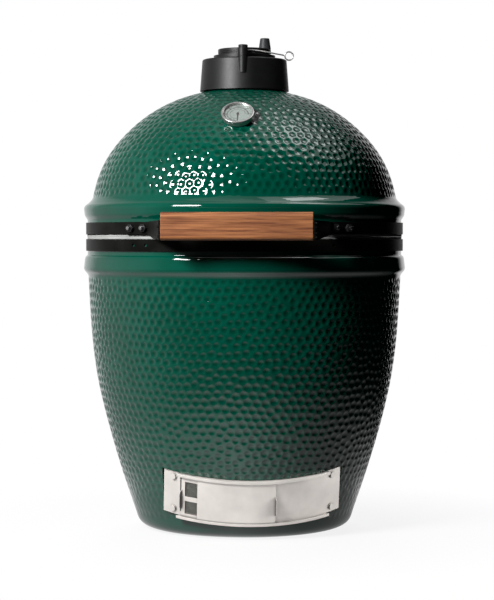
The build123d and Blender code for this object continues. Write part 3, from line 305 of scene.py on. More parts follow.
GLAZE = make_glaze()
POWDER = make_coated("black_powder_coat", (0.0025, 0.0028, 0.002), 0.42, gloss=0.07)
CAST = make_coated("cap_cast", (0.0012, 0.0013, 0.0015), 0.45, 1400.0, 0.0001, gloss=0.42)
KNOB = make_coated("knob_plastic", (0.02, 0.021, 0.023), 0.5, 500.0)
OXIDE = make_coated("black_bolt", (0.012, 0.012, 0.012), 0.3)
GRATE = make_coated("cast_iron", (0.03, 0.03, 0.03), 0.75, 300.0, 0.0005)
SEAL = make_coated("seal_rubber", (0.02, 0.02, 0.02), 0.7)
NEEDLE = make_coated("needle_black", (0.03, 0.006, 0.005), 0.4)
INK = make_coated("dial_ink", (0.02, 0.02, 0.022), 0.6)
STAINLESS = make_metal("stainless", (0.84, 0.79, 0.745), 0.5, (1.0, 18.0, 18.0), 0.05, 40.0, metallic=0.35)
# painted shade on the stainless: its grooves and sideways faces are darkened in the base colour
paint_shade_in_grooves_and_sides(STAINLESS, 0.006, 0.16)
MESH_WIRE = make_metal("wire_mesh", (0.34, 0.32, 0.30), 0.45)
GRID = make_metal("grid_steel", (0.62, 0.61, 0.6), 0.28)
ZINC = make_metal("zinc_steel", (0.55, 0.55, 0.56), 0.24)
SPRING = make_metal("spring_steel", (0.30, 0.30, 0.31), 0.3)
CHROME = make_metal("dial_chrome", (0.66, 0.65, 0.64), 0.36)
WOOD = make_wood()
FELT = make_felt()
CLAY = make_clay("fire_clay", (0.56, 0.46, 0.36), (0.40, 0.32, 0.25))
DIAL = make_dial_print()
GLASS = make_glass()

BY_SLOT = {
    "green_glaze": GLAZE, "fire_clay": CLAY, "cast_iron": GRATE, "grid_steel": GRID, "felt": FELT,
    "black_powder_coat": POWDER, "black_bolt": OXIDE, "zinc_steel": ZINC, "spring_steel": SPRING,
    "handle_wood": WOOD, "stainless": STAINLESS, "wire_mesh": MESH_WIRE, "dial_chrome": CHROME,
    "dial_face": DIAL, "needle_black": NEEDLE, "lens_glass": GLASS, "cap_cast": CAST,
    "knob_plastic": KNOB, "seal_rubber": SEAL,
}


def paint(piece, material):
    piece.data.materials.clear()
    piece.data.materials.append(material)


for row in frame["record"]["subparts"]:
    paint(frame["nodes"][row["node"]], BY_SLOT[row["material_slot"]])


# ---------------------------------------------------------------- meshes from numbers
def show(name, data):
    """A new object in the scene, holding a mesh, text, light or camera."""
    made = bpy.data.objects.new(name, data)
    SCENE.collection.objects.link(made)
    return made


def mesh_from(shape, name):
    """Turns a bmesh into a mesh and frees it."""
    mesh = bpy.data.meshes.new(name)
    shape.to_mesh(mesh)
    shape.free()
    return mesh


def add_mesh(name, points, faces, material, body, smooth_angle):
    """A new piece from points and faces, riding on a body."""
    mesh = bpy.data.meshes.new(name)
    mesh.from_pydata([tuple(p) for p in points], [], [tuple(f) for f in faces])
    mesh.validate()
    piece = show(name, mesh)
    finish_mesh(piece, material, body, smooth_angle)
    return piece


def finish_mesh(piece, material, body, smooth_angle):
    """Paints a piece, smooths its faces up to an angle in degrees, and sets what it rides on."""
    paint(piece, material)
    piece.data.polygons.foreach_set("use_smooth", [True] * len(piece.data.polygons))
    piece.data.set_sharp_from_angle(angle=math.radians(smooth_angle))
    if body:
        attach(piece, body)


def spline(points, spacing):
    """Natural cubic through the points, sampled about every spacing along its length."""
    points = np.array(points, float)
    along = np.r_[0, np.cumsum(np.linalg.norm(np.diff(points, axis=0), axis=1))]
    count = len(points)
    gaps = np.diff(along)
    system = np.zeros((count, count))
    right = np.zeros((count, 2))
    system[0, 0] = system[-1, -1] = 1.0
    for i in range(1, count - 1):
        system[i, i - 1] = gaps[i - 1]
        system[i, i] = 2 * (gaps[i - 1] + gaps[i])
        system[i, i + 1] = gaps[i]
        slopes = np.diff(points[i - 1:i + 2], axis=0) / gaps[i - 1:i + 1, None]
        right[i] = 6 * (slopes[1] - slopes[0])
    curve = np.linalg.solve(system, right)
    samples = np.linspace(0, along[-1], max(2, int(round(along[-1] / spacing)) + 1))
    span = np.clip(np.searchsorted(along, samples, side="right") - 1, 0, count - 2)
    step = gaps[span][:, None]
    low = ((along[span + 1] - samples)[:, None]) / step
    high = ((samples - along[span])[:, None]) / step
    return (
        low * points[span] + high * points[span + 1]
        + ((low**3 - low) * curve[span] + (high**3 - high) * curve[span + 1]) * step**2 / 6
    )


def straight(start, end, spacing):
    start, end = np.array(start, float), np.array(end, float)
    count = max(1, int(round(np.linalg.norm(end - start) / spacing)))
    return start + (end - start) * np.linspace(0, 1, count + 1)[:, None]


def turn(corner, before, after, radius, count=4):
    """Rounded corner between two directions, as a short quadratic curve."""
    corner, before, after = (np.array(v, float) for v in (corner, before, after))
    start = corner - before / np.linalg.norm(before) * radius
    end = corner + after / np.linalg.norm(after) * radius
    t = np.linspace(0, 1, count + 1)[:, None]
    return (1 - t) ** 2 * start + 2 * t * (1 - t) * corner + t**2 * end


def rounded_outline(stretches, radius=1.6):
    """Joins stretches of (r, z) points into one line, with a small round where each two meet."""
    line = [stretches[0]]
    for stretch in stretches[1:]:
        before = line[-1][-1] - line[-1][-2]
        after = stretch[1] - stretch[0]
        cosine = before @ after / np.linalg.norm(before) / np.linalg.norm(after)
        if cosine > 0.94:
            line.append(stretch[1:])
            continue
        corner = turn(stretch[0], before, after, radius)
        line[-1] = line[-1][:-1]
        line.append(corner)
        line.append(stretch[1:])
    return np.vstack(line)


# ---------------------------------------------------------------- the two dimpled ceramic shells
# From here to the stage, a bare length is in millimetres, and one times MM is in metres
SEGMENTS = 960                # corners around the shells
WALL_STEP = 1.7               # between rows of corners on a dimpled wall
INNER_STEP = 9.0              # the same on the plain inside
DIMPLE_PITCH = 14.6
DIMPLE_RADIUS = 6.5
DIMPLE_DEPTH = 1.4
DIMPLE_SHAKE = 0.2            # spread of the centres off their rows, as a share of the pitch
FOOT_FADE = 85.0              # length over which the base's dimples grow to full depth from its foot
END_FADE = 8.0                # the same at every other end of a wall
EDGE_MARGIN = 4.0             # from a dimple's centre to the end of the wall, at least


def dimple_centres(rng, along, outline, low, high):
    """Angle and length along the wall of each dimple: staggered rows, shaken, then pushed apart."""
    rows = int((high - low) / (DIMPLE_PITCH * 0.88))
    angle, level = [], []
    for row in range(rows):
        row_level = low + (row + 0.5) * (high - low) / rows
        count = int(round(2 * np.pi * np.interp(row_level, along, outline[:, 0]) / DIMPLE_PITCH))
        angle.extend((np.arange(count) + 0.5 * (row % 2)) * 2 * np.pi / count)
        level.extend([row_level] * count)
    angle, level = np.array(angle), np.array(level)
    shake = rng.normal(0, DIMPLE_SHAKE * DIMPLE_PITCH, (2, len(angle)))
    angle += shake[0] / np.interp(level, along, outline[:, 0])
    level += shake[1]
    for _ in range(5):
        angle, level = push_apart(angle, level, along, outline)
        level = np.clip(level, low + EDGE_MARGIN, high - EDGE_MARGIN)
    return angle, level


def push_apart(angle, level, along, outline):
    """Moves each dimple away from those of its neighbours that are nearer than the pitch."""
    radius = np.interp(level, along, outline[:, 0])
    height = np.interp(level, along, outline[:, 1])
    points = np.stack([radius * np.sin(angle), -radius * np.cos(angle), height], axis=1)
    tree = KDTree(len(points))
    for index, point in enumerate(points):
        tree.insert(point, index)
    tree.balance()
    near = np.array([[found[1] for found in tree.find_n(point, 7)] for point in points])[:, 1:]
    apart = points[:, None] - points[near]
    distance = np.maximum(np.linalg.norm(apart, axis=2), 0.1)[..., None]
    push = 0.3 * (apart / distance * np.maximum(DIMPLE_PITCH - distance, 0)).sum(axis=1)
    around = push[:, 0] * np.cos(angle) + push[:, 1] * np.sin(angle)
    outward = push[:, 0] * np.sin(angle) - push[:, 1] * np.cos(angle)
    slope_r = np.interp(level + 1, along, outline[:, 0]) - radius
    slope_z = np.interp(level + 1, along, outline[:, 1]) - height
    return angle + around / radius, level + outward * slope_r + push[:, 2] * slope_z


def dimple_field(angles, along, outline, seed, low, high, start_fade):
    """Depth of the dimples, from 0 to 1, over a grid of angles and lengths along the wall."""
    rng = np.random.default_rng(seed)
    centres = dimple_centres(rng, along, outline, low, high)
    sizes = DIMPLE_RADIUS * rng.uniform(0.88, 1.08, len(centres[0]))
    step = angles[1]
    nearest = np.full((len(along), len(angles)), 9.0)
    for angle, level, size in zip(*centres, sizes):
        radius = np.interp(level, along, outline[:, 0])
        half = int(size / (radius * step)) + 1
        columns = int(round(angle / step)) + np.arange(-half, half + 1)
        rows = np.flatnonzero(abs(along - level) < size)
        sideways = (columns * step - angle)[None, :] * radius
        distance = np.hypot(sideways, (along[rows] - level)[:, None]) / size
        block = np.ix_(rows, columns % len(angles))
        nearest[block] = np.minimum(nearest[block], distance)
    depth = np.clip(1 - nearest**2, 0, 1)
    fade = np.clip((along - low) / start_fade, 0.3, 1) * np.clip((high - along) / END_FADE, 0, 1)
    return depth * fade[:, None]


def outward_directions(outline, closed):
    """Unit (r, z) direction off an outline at each of its points."""
    forward = np.roll(outline, -1, axis=0) - np.roll(outline, 1, axis=0)
    if closed:
        forward[0] = outline[1] - outline[-1]
        forward[-1] = outline[0] - outline[-2]
    else:
        forward[0] = outline[1] - outline[0]
        forward[-1] = outline[-1] - outline[-2]
    forward /= np.linalg.norm(forward, axis=1)[:, None]
    return np.c_[forward[:, 1], -forward[:, 0]]


def turned_faces(rows, closed):
    """Corner numbers and corner counts of the faces of an outline turned around Z."""
    last = rows if closed else rows - 1
    row = np.arange(last)[:, None]
    column = np.arange(SEGMENTS)[None, :]
    across = (column + 1) % SEGMENTS
    below, above = row * SEGMENTS, ((row + 1) % rows) * SEGMENTS
    walls = np.stack([below + column, below + across, above + across, above + column], axis=2)
    corners, sizes = walls.ravel(), np.full(last * SEGMENTS, 4)
    if closed:
        return corners, sizes
    foot_centre, floor_centre = rows * SEGMENTS, rows * SEGMENTS + 1
    ring, beside = column[0], across[0]
    top = last * SEGMENTS
    foot = np.stack([np.full(SEGMENTS, foot_centre), beside, ring], axis=1)
    floor = np.stack([np.full(SEGMENTS, floor_centre), top + ring, top + beside], axis=1)
    return np.r_[corners, foot.ravel(), floor.ravel()], np.r_[sizes, np.full(2 * SEGMENTS, 3)]


def mesh_from_arrays(name, points, corners, sizes):
    mesh = bpy.data.meshes.new(name)
    mesh.vertices.add(len(points))
    mesh.vertices.foreach_set("co", points.ravel())
    mesh.loops.add(len(corners))
    mesh.loops.foreach_set("vertex_index", corners.astype(np.int32))
    mesh.polygons.add(len(sizes))
    mesh.polygons.foreach_set("loop_start", np.r_[0, np.cumsum(sizes)[:-1]].astype(np.int32))
    mesh.update(calc_edges=True)
    mesh.validate()
    return mesh


def glaze_wave(angles, along):
    """Faint waviness of the glazed walls, in millimetres."""
    return (
        0.16 * np.sin(3 * angles + 0.8)[None, :] * np.sin(along / 47)[:, None]
        + 0.10 * np.sin(11 * angles)[None, :] * np.sin(along / 23 + 1.3)[:, None]
    )


def ceramic_shell(name, outline, wall, seed, closed):
    """Turns an outline around Z, with dimples and faint waves pressed into its wall."""
    angles = np.linspace(0, 2 * np.pi, SEGMENTS, endpoint=False)
    outward = outward_directions(outline, closed)
    along = np.r_[0, np.cumsum(np.linalg.norm(np.diff(outline, axis=0), axis=1))]
    ends = [np.argmin(np.linalg.norm(outline - np.array(end), axis=1)) for end in (wall[0], wall[-1])]
    low, high = sorted(along[ends])
    depth = dimple_field(angles, along, outline, seed, low, high, END_FADE if closed else FOOT_FADE)
    off_wall = ((along < low) | (along > high))[:, None]
    press = -DIMPLE_DEPTH * depth + np.where(off_wall, 0, glaze_wave(angles, along))
    radius = outline[:, 0][:, None] + outward[:, 0][:, None] * press
    height = outline[:, 1][:, None] + outward[:, 1][:, None] * press
    points = np.stack([radius * np.sin(angles), -radius * np.cos(angles), height], axis=2).reshape(-1, 3)
    if not closed:
        points = np.vstack([points, [(0, 0, outline[0][1]), (0, 0, outline[-1][1])]])
        depth = np.r_[depth.ravel(), 0, 0]
    mesh = mesh_from_arrays(name, points * MM, *turned_faces(len(outline), closed))
    attribute = mesh.attributes.new("dimple", "FLOAT", "POINT")
    attribute.data.foreach_set("value", depth.ravel().astype(np.float32))
    return show(name, mesh)


def cutter(name, build):
    """A temporary solid made by build(bmesh), for cutting an opening."""
    shape = bmesh.new()
    build(shape)
    bmesh.ops.recalc_face_normals(shape, faces=shape.faces)
    return show(name, mesh_from(shape, name))


def cut(piece, tools):
    """Cuts each tool out of the piece."""
    for tool in tools:
        step = piece.modifiers.new("cut", "BOOLEAN")
        step.object = tool
        step.operation = "DIFFERENCE"
        step.solver = "EXACT"
    graph = bpy.context.evaluated_depsgraph_get()
    final = bpy.data.meshes.new_from_object(piece.evaluated_get(graph))
    piece.modifiers.clear()
    piece.data = final
    for tool in tools:
        bpy.data.objects.remove(tool)


# Outlines in millimetres, as (radius, height)
BAND_REACH = 2.6              # from a shell's rim to the outside of its band
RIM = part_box("base_band")[1].x / MM - BAND_REACH
MOUTH = RIM - 27.4            # the inside of both shells at the joint
BASE_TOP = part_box("base_shell")[1].z / MM
DOME_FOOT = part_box("dome_shell")[0].z / MM
NECK_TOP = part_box("dome_shell")[1].z / MM
NECK = 62.0                   # radius of the chimney neck's outside
FLUE = 50.0                   # radius of its inside
BASE_WALL = [(188, 27), (211.7, 97), (236.6, 183), (252.6, 252), (262.1, 321), (267, 390), (269, 431)]
BASE_INSIDE = [(243, 420), (237, 338), (225.5, 252), (209, 183), (189.5, 114), (172, 62), (150, 32)]
DOME_WALL = [
    (261.3, 565.3), (255.5, 589), (238, 631), (206.8, 672), (155.5, 714), (112.4, 735), (77.6, 745.5),
]
DOME_INSIDE = [(60, 727), (118, 709), (160, 684), (197, 648), (220, 607), (232, 570), (243, 540)]
GLAZE_SMOOTH = 38.0           # degrees between faces, up to which the glaze looks smooth

# The draft door's bed, as radii from the door's tilted axis
BED_RADIUS = 212.9
BED_THICKNESS = 14.0
SHELL_CORE = 150.0            # a radius that is inside the wall's inner face
BED_RECESS = (-43.5, 43.5, -42.5, 39)   # degrees from the front, then heights, of the hollow for the door
BED = (-43, 43, -39.5, 38)              # the bed that stands in it
AIR_OPENING = (-26, 26, -28, 28)        # the opening through both


def make_base():
    outline = rounded_outline([
        straight((140, 0), (157.5, 0), 8),
        spline([(157.5, 0), (171, 3.4), (180.6, 10), (188, 27)], 2.0),
        spline(BASE_WALL, WALL_STEP),
        spline([(269, 431), (270.6, 434.6), (273.4, 438), (276, 441.6), (276.9, 445.5)], 1.2),
        straight((276.9, 445.5), (275.2, 460), 3),
        spline([(275.2, 460), (273.9, 464.4), (RIM, 467.5)], 1.2),
        straight((RIM, 467.5), (RIM, BASE_TOP), 4),
        straight((RIM, BASE_TOP), (MOUTH, BASE_TOP), 8),
        straight((MOUTH, BASE_TOP), BASE_INSIDE[0], 12),
        spline(BASE_INSIDE, INNER_STEP),
        straight(BASE_INSIDE[-1], (120, 32), 12),
    ])
    piece = ceramic_shell("ceramic_base", outline, BASE_WALL, 11, closed=False)
    recess = door_sector("clear", BED_RADIUS, BED_RADIUS + 30, BED_RECESS)
    cut(piece, [recess, door_sector("vent", SHELL_CORE, BED_RADIUS + 10, AIR_OPENING)])
    finish_mesh(piece, GLAZE, "base", GLAZE_SMOOTH)
    bed = door_sector("ceramic_seat", BED_RADIUS - BED_THICKNESS, BED_RADIUS - 0.05, BED)
    cut(bed, [door_sector("hole", SHELL_CORE, BED_RADIUS + 10, AIR_OPENING)])
    finish_mesh(bed, GLAZE, "base", GLAZE_SMOOTH)
    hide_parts("base_shell")


def make_dome():
    outline = rounded_outline([
        straight((MOUTH, DOME_FOOT), (RIM, DOME_FOOT), 8),
        straight((RIM, DOME_FOOT), (RIM, 527), 4),
        spline([(RIM, 527), (272.9, 531), (274.8, 534.3), (276, 541), (276.5, 547), (274.6, 551.5),
                (270.3, 555), (266.5, 558.4), (263.5, 561.8), (261.3, 565.3)], 1.2),
        spline(DOME_WALL, WALL_STEP),
        straight(DOME_WALL[-1], (NECK + 2, 748.5), 3),
        straight((NECK, 750.5), (NECK, NECK_TOP), 10),
        straight((NECK, NECK_TOP), (FLUE, NECK_TOP), 4),
        straight((FLUE, NECK_TOP), (FLUE, 733), 12),
        spline([(FLUE, 733), (53, 729.2), (60, 727)], 3),
        spline(DOME_INSIDE, INNER_STEP),
        straight(DOME_INSIDE[-1], (MOUTH, DOME_FOOT + 2), 12),
    ])
    piece = ceramic_shell("ceramic_dome", outline, DOME_WALL, 5, closed=True)
    cut(piece, [cutter("stem_hole", stem_hole)])
    finish_mesh(piece, GLAZE, "dome", GLAZE_SMOOTH)
    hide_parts("dome_shell")


def stem_hole(shape):
    """Round hole for the thermometer's stem."""
    middle = dial_frame() @ Matrix.Translation((0, 0, -10 * MM))
    bmesh.ops.create_cone(
        shape, cap_ends=True, segments=32, radius1=6 * MM, radius2=6 * MM, depth=80 * MM, matrix=middle,
    )


# ---------------------------------------------------------------- frames of the door and the dial
def joint(name):
    return next(j for j in frame["joints"] if j["name"] == name)


def frame_on(name, flip):
    """Local frame of a hinge: Z along its axis, or against it, and X level, to the right from the front."""
    hinge = joint(name)
    up = Vector(hinge["axis"]).normalized() * flip
    right = Vector((-up.y, up.x, 0)).normalized()
    turned = Matrix((right, up.cross(right), up)).transposed().to_4x4()
    return Matrix.Translation(hinge["pos_m"]) @ turned


def door_frame():
    """Z up the draft door's tilted axis, the front at -Y."""
    return frame_on("draft_door_slide", 1)


def dial_frame():
    """Z out of the thermometer's dial."""
    return frame_on("needle_turn", -1)


def sector_solid(shape, matrix, inner, outer, start, end, low, high):
    """Curved block between two radii, two angles from the front and two heights, in millimetres."""
    steps = max(4, int((end - start) / 0.7))
    rings = []
    for i in range(steps + 1):
        angle = math.radians(start + (end - start) * i / steps)
        side, front = math.sin(angle), -math.cos(angle)
        corners = [(outer, low), (outer, high), (inner, high), (inner, low)]
        rings.append([
            shape.verts.new(matrix @ Vector((r * side * MM, r * front * MM, z * MM))) for r, z in corners
        ])
    for first, second in zip(rings, rings[1:]):
        for k in range(4):
            shape.faces.new((first[k], first[(k + 1) % 4], second[(k + 1) % 4], second[k]))
    shape.faces.new(rings[0][::-1])
    shape.faces.new(rings[-1])


def door_sector(name, inner, outer, window):
    """Curved block about the draft door's axis."""
    return cutter(name, lambda shape: sector_solid(shape, door_frame(), inner, outer, *window))


# ---------------------------------------------------------------- swept wires
def round_wire(path, radius, sides):
    """Points and faces of a wire along a path of points, closed at both ends."""
    path = np.array(path, float)
    ahead = np.gradient(path, axis=0)
    ahead /= np.linalg.norm(ahead, axis=1)[:, None]
    reference = np.array([0.0, 0.0, 1.0]) if abs(ahead[0, 2]) < 0.9 else np.array([1.0, 0.0, 0.0])
    side = np.cross(ahead[0], reference)
    side /= np.linalg.norm(side)
    points = []
    turns = np.linspace(0, 2 * np.pi, sides, endpoint=False)
    for centre, forward in zip(path, ahead):
        side = side - forward * (side @ forward)
        side /= np.linalg.norm(side)
        up = np.cross(forward, side)
        points.extend(centre + radius * (math.cos(t) * side + math.sin(t) * up) for t in turns)
    faces = []
    for i in range(len(path) - 1):
        for k in range(sides):
            n = (k + 1) % sides
            faces.append((i * sides + k, i * sides + n, (i + 1) * sides + n, (i + 1) * sides + k))
    faces.append(tuple(range(sides))[::-1])
    faces.append(tuple(range((len(path) - 1) * sides, len(path) * sides)))
    return points, faces


SPRING_RADIUS = 11 * MM       # to the middle of the wire
SPRING_WIRE = 2.25 * MM       # radius of the wire
SPRING_PITCH = 4.7 * MM
SPRING_TURNS = 5.5
SPRING_START = 8 * MM         # from the grill's middle to the first coil
SPRING_LEG = 31 * MM


def spring_path():
    """The right spring about the pin: a leg on the lower shelf, the coils, a leg under the upper web."""
    length = SPRING_PITCH * SPRING_TURNS
    legs = np.linspace(0, 1, 12)
    path = [(SPRING_START, -SPRING_LEG * (1 - t), -SPRING_RADIUS) for t in legs[:-1]]
    for t in np.linspace(0, 1, 200):
        turned = 2 * math.pi * SPRING_TURNS * t
        y, z = SPRING_RADIUS * math.sin(turned), -SPRING_RADIUS * math.cos(turned)
        path.append((SPRING_START + length * t, y, z))
    return path + [(SPRING_START + length, -SPRING_LEG * t, SPRING_RADIUS) for t in legs[1:]]


def make_spring(side):
    """Torsion spring on the right for side 1, or its mirror image on the left for side -1."""
    word = "right" if side > 0 else "left"
    pivot = Vector(joint("dome_hinge")["pos_m"])
    path = [(side * x, pivot.y + y, pivot.z + z) for x, y, z in spring_path()]
    points, faces = round_wire(path, SPRING_WIRE, 14)
    piece = add_mesh("spring_coil_" + word, points, faces, SPRING, None, 50)
    if side < 0:
        piece.data.flip_normals()
    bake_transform(piece)
    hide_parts("torsion_spring_" + word)


# ---------------------------------------------------------------- felt, screen and dial
FELT_LAP = 1.0                # how far the felt's edge curls over the rim it's glued to
FELT_WIDTH = 23.0
FELT_BULGE = 1.1              # of the outer edge past the rim


def make_felt_ring(name, node_name, body, seed):
    """Pressed felt ring with soft, slightly ragged edges."""
    low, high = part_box(node_name)
    outer, inner = high.x / MM, high.x / MM - FELT_WIDTH
    bottom, top = low.z / MM, high.z / MM
    count = 720
    rng = np.random.default_rng(seed)
    angles = np.linspace(0, 2 * np.pi, count, endpoint=False)
    ragged = sum(
        rng.uniform(0.03, 0.12) * np.sin(angles * k + rng.uniform(0, 6.3)) for k in (7, 13, 29, 47, 71, 118)
    )
    lower, upper = (bottom - FELT_LAP, top) if body == "base" else (bottom, top + FELT_LAP)
    edge = outer + FELT_BULGE
    section = [
        (inner, bottom), (outer, bottom), (edge - 0.3, lower), (edge, lower + 0.8),
        (edge, upper - 0.8), (edge - 0.3, upper), (outer, top), (inner, top),
    ]
    points, faces = [], []
    for angle, shift in zip(angles, ragged):
        for r, z in section:
            reach = r + (shift if r > outer else 0)
            points.append((reach * math.sin(angle) * MM, -reach * math.cos(angle) * MM, z * MM))
    size = len(section)
    for i in range(count):
        j = (i + 1) % count
        for k in range(size):
            n = (k + 1) % size
            faces.append((i * size + k, j * size + k, j * size + n, i * size + n))
    piece = add_mesh(name, points, faces, FELT, body, 45)
    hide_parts(node_name)


SCREEN_RADIUS = 215.85        # from the door's axis to the middle of the wire cloth
SCREEN_ANGLES = (-32.0, -0.2)
SCREEN_HEIGHTS = (-33.5, 26.5)
SCREEN_WIRE = 0.28            # radius of a wire
SCREEN_WAVE = 0.3             # how far the wires wave in and out


def make_screen_wires():
    """Wire cloth behind the screen door's windows: wavy wires both ways, joined where they cross."""
    door = door_frame()
    pitch = 1.7
    start, width = math.radians(SCREEN_ANGLES[0]), math.radians(SCREEN_ANGLES[1] - SCREEN_ANGLES[0])
    low, high = SCREEN_HEIGHTS
    columns = int(width * SCREEN_RADIUS / pitch)
    rows = int((high - low) / pitch)

    def crossing(column, row):
        reach = (SCREEN_RADIUS + SCREEN_WAVE * (1 if (column + row) % 2 == 0 else -1)) * MM
        angle = start + column * (width / columns)
        height = low + row * (high - low) / rows
        return door @ Vector((reach * math.sin(angle), -reach * math.cos(angle), height * MM))

    paths = [[crossing(i, k) for k in range(rows + 1)] for i in range(columns + 1)]
    paths += [[crossing(i, k) for i in range(columns + 1)] for k in range(rows + 1)]
    points, faces = [], []
    for path in paths:
        wire_points, wire_faces = round_wire(path, SCREEN_WIRE * MM, 4)
        faces.extend(tuple(len(points) + i for i in face) for face in wire_faces)
        points.extend(wire_points)
    piece = add_mesh("screen_wires", points, faces, MESH_WIRE, "mesh_door", 60)
    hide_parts("screen_mesh")


DIAL_LEVEL = 6.85 * MM        # of the print, above the needle joint's point
DIAL_START = math.radians(180)
DIAL_SWEEP = math.radians(-270)
DIAL_TICKS = 60
DIAL_RINGS = (17.5, 12.3)     # inner radii
DIAL_RING_STEPS = 180
DIAL_NUMBERS = 7
DIAL_NUMBER_RADIUS = 20.4


def dial_direction(angle):
    return Vector((-math.sin(angle), math.cos(angle), 0))


def dial_bar(shape, dial, angle, inner, outer, half_width):
    """Thin printed bar between two radii, in millimetres."""
    side = Vector((math.cos(angle), math.sin(angle), 0)) * half_width
    out = dial_direction(angle)
    corners = [out * inner - side, out * inner + side, out * outer + side, out * outer - side]
    low, high = (
        [shape.verts.new(dial @ (c * MM + Vector((0, 0, level)))) for c in corners]
        for level in (DIAL_LEVEL, DIAL_LEVEL + 0.08 * MM)
    )
    shape.faces.new(high)
    shape.faces.new(low[::-1])
    for k in range(4):
        n = (k + 1) % 4
        shape.faces.new((low[k], low[n], high[n], high[k]))


def print_on_dial(piece):
    paint(piece, INK)
    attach(piece, "dome")


def make_dial_marks():
    """Ticks and two rings, over three quarters of the dial."""
    dial = dial_frame()
    shape = bmesh.new()
    for i in range(DIAL_TICKS + 1):
        angle = DIAL_START + DIAL_SWEEP * i / DIAL_TICKS
        major = i % 10 == 0
        inner = 14.6 if major else 15.4 if i % 5 == 0 else 16.2
        dial_bar(shape, dial, angle, inner, 17.4, 0.45 if major else 0.24)
    for radius in DIAL_RINGS:
        for i in range(DIAL_RING_STEPS):
            angle = DIAL_START + DIAL_SWEEP * (i + 0.5) / DIAL_RING_STEPS
            half_width = abs(DIAL_SWEEP) / 2 * radius / DIAL_RING_STEPS
            dial_bar(shape, dial, angle, radius, radius + 0.5, half_width)
    print_on_dial(show("dial_marks", mesh_from(shape, "dial_marks")))


def make_dial_number(index):
    """One of the plain numerals 50 to 350."""
    words = bpy.data.curves.new(f"dial_number_{index}", "FONT")
    words.body = str(50 + 50 * index)
    words.size = 4.4 * MM
    words.extrude = 0.04 * MM
    words.align_x = "CENTER"
    words.align_y = "CENTER"
    letters = show("letters", words)
    graph = bpy.context.evaluated_depsgraph_get()
    solid = bpy.data.meshes.new_from_object(letters.evaluated_get(graph))
    bpy.data.objects.remove(letters)
    angle = DIAL_START + DIAL_SWEEP * index / (DIAL_NUMBERS - 1)
    where = dial_direction(angle) * DIAL_NUMBER_RADIUS * MM + Vector((0, 0, DIAL_LEVEL))
    solid.transform(dial_frame() @ Matrix.Translation(where))
    print_on_dial(show(f"dial_number_{index}", solid))


make_base()
make_dome()
make_spring(1)
make_spring(-1)
make_felt_ring("felt_ring_base", "base_gasket", "base", 3)
make_felt_ring("felt_ring_dome", "dome_gasket", "dome", 4)
make_screen_wires()
make_dial_marks()
for number in range(DIAL_NUMBERS):
    make_dial_number(number)


# ---------------------------------------------------------------- stage, light and camera
def area(name, azimuth, elevation, distance, size, power, mirrored_only=False, height=0.45):
    """Softbox that faces a point on the Z axis. Azimuth is from the front, positive to the right."""
    lamp = bpy.data.lights.new(name, "AREA")
    lamp.shape = "RECTANGLE"
    lamp.size, lamp.size_y = size
    lamp.energy = power
    holder = show(name, lamp)
    a, e = math.radians(azimuth), math.radians(elevation)
    toward = Vector((math.sin(a) * math.cos(e), -math.cos(a) * math.cos(e), math.sin(e)))
    holder.location = Vector((0, 0, height)) + toward * distance
    holder.rotation_mode = "QUATERNION"
    holder.rotation_quaternion = (-toward).to_track_quat("-Z", "Y")
    holder.visible_diffuse = not mirrored_only
    return holder


def only_on(lamp, nodes):
    """Lets a light shine on nothing but the named pieces."""
    lit = bpy.data.collections.new(lamp.name + "_lit")
    for name in nodes:
        lit.objects.link(frame["nodes"][name])
    lamp.light_linking.receiver_collection = lit


FLOOR_REACH = 14.0
SIDES = [  # azimuth in degrees from the front, positive to the right, and the floor glow's share there
    (-180, 0.78), (-90, 0.64), (-45, 0.76), (-5, 1.0), (35, 0.46), (60, 0.36), (100, 0.33), (180, 0.75),
]
SKY = [  # azimuth and brightness of the surroundings
    (-180, 0.9), (-142, 0.9), (-130, 0.5), (-100, 0.52), (-75, 0.42), (-55, 0.14), (-30, 0.03),
    (30, 0.004), (60, 0.0), (146, 0.0), (157, 0.9), (180, 0.9),
]
POOL = [  # distance from the grill's axis and the floor glow's share there
    (0.28, 0.75), (0.38, 1.0), (0.50, 0.66), (0.62, 0.40), (0.74, 0.21), (0.88, 0.085), (1.3, 0.0),
]
POOL_REACH = 2.0
POOL_PEAK = 1.4               # brightness of the floor's glow, seen in reflections
POOL_SPILL = 0.2              # share of it that lights diffuse surfaces
SKY_SPILL = 0.1               # the same for the surroundings


def make_stage():
    corners = [(x * FLOOR_REACH, y * FLOOR_REACH, 0) for x, y in ((-1, -1), (1, -1), (1, 1), (-1, 1))]
    mesh = bpy.data.meshes.new("floor")
    mesh.from_pydata(corners, [], [(0, 1, 2, 3)])
    floor = show("floor", mesh)
    floor.location.z = -0.5 * MM
    floor.data.materials.append(make_floor())
    make_surroundings()


def emission(tree, color):
    return node(tree, "ShaderNodeEmission", Color=color).outputs[0]


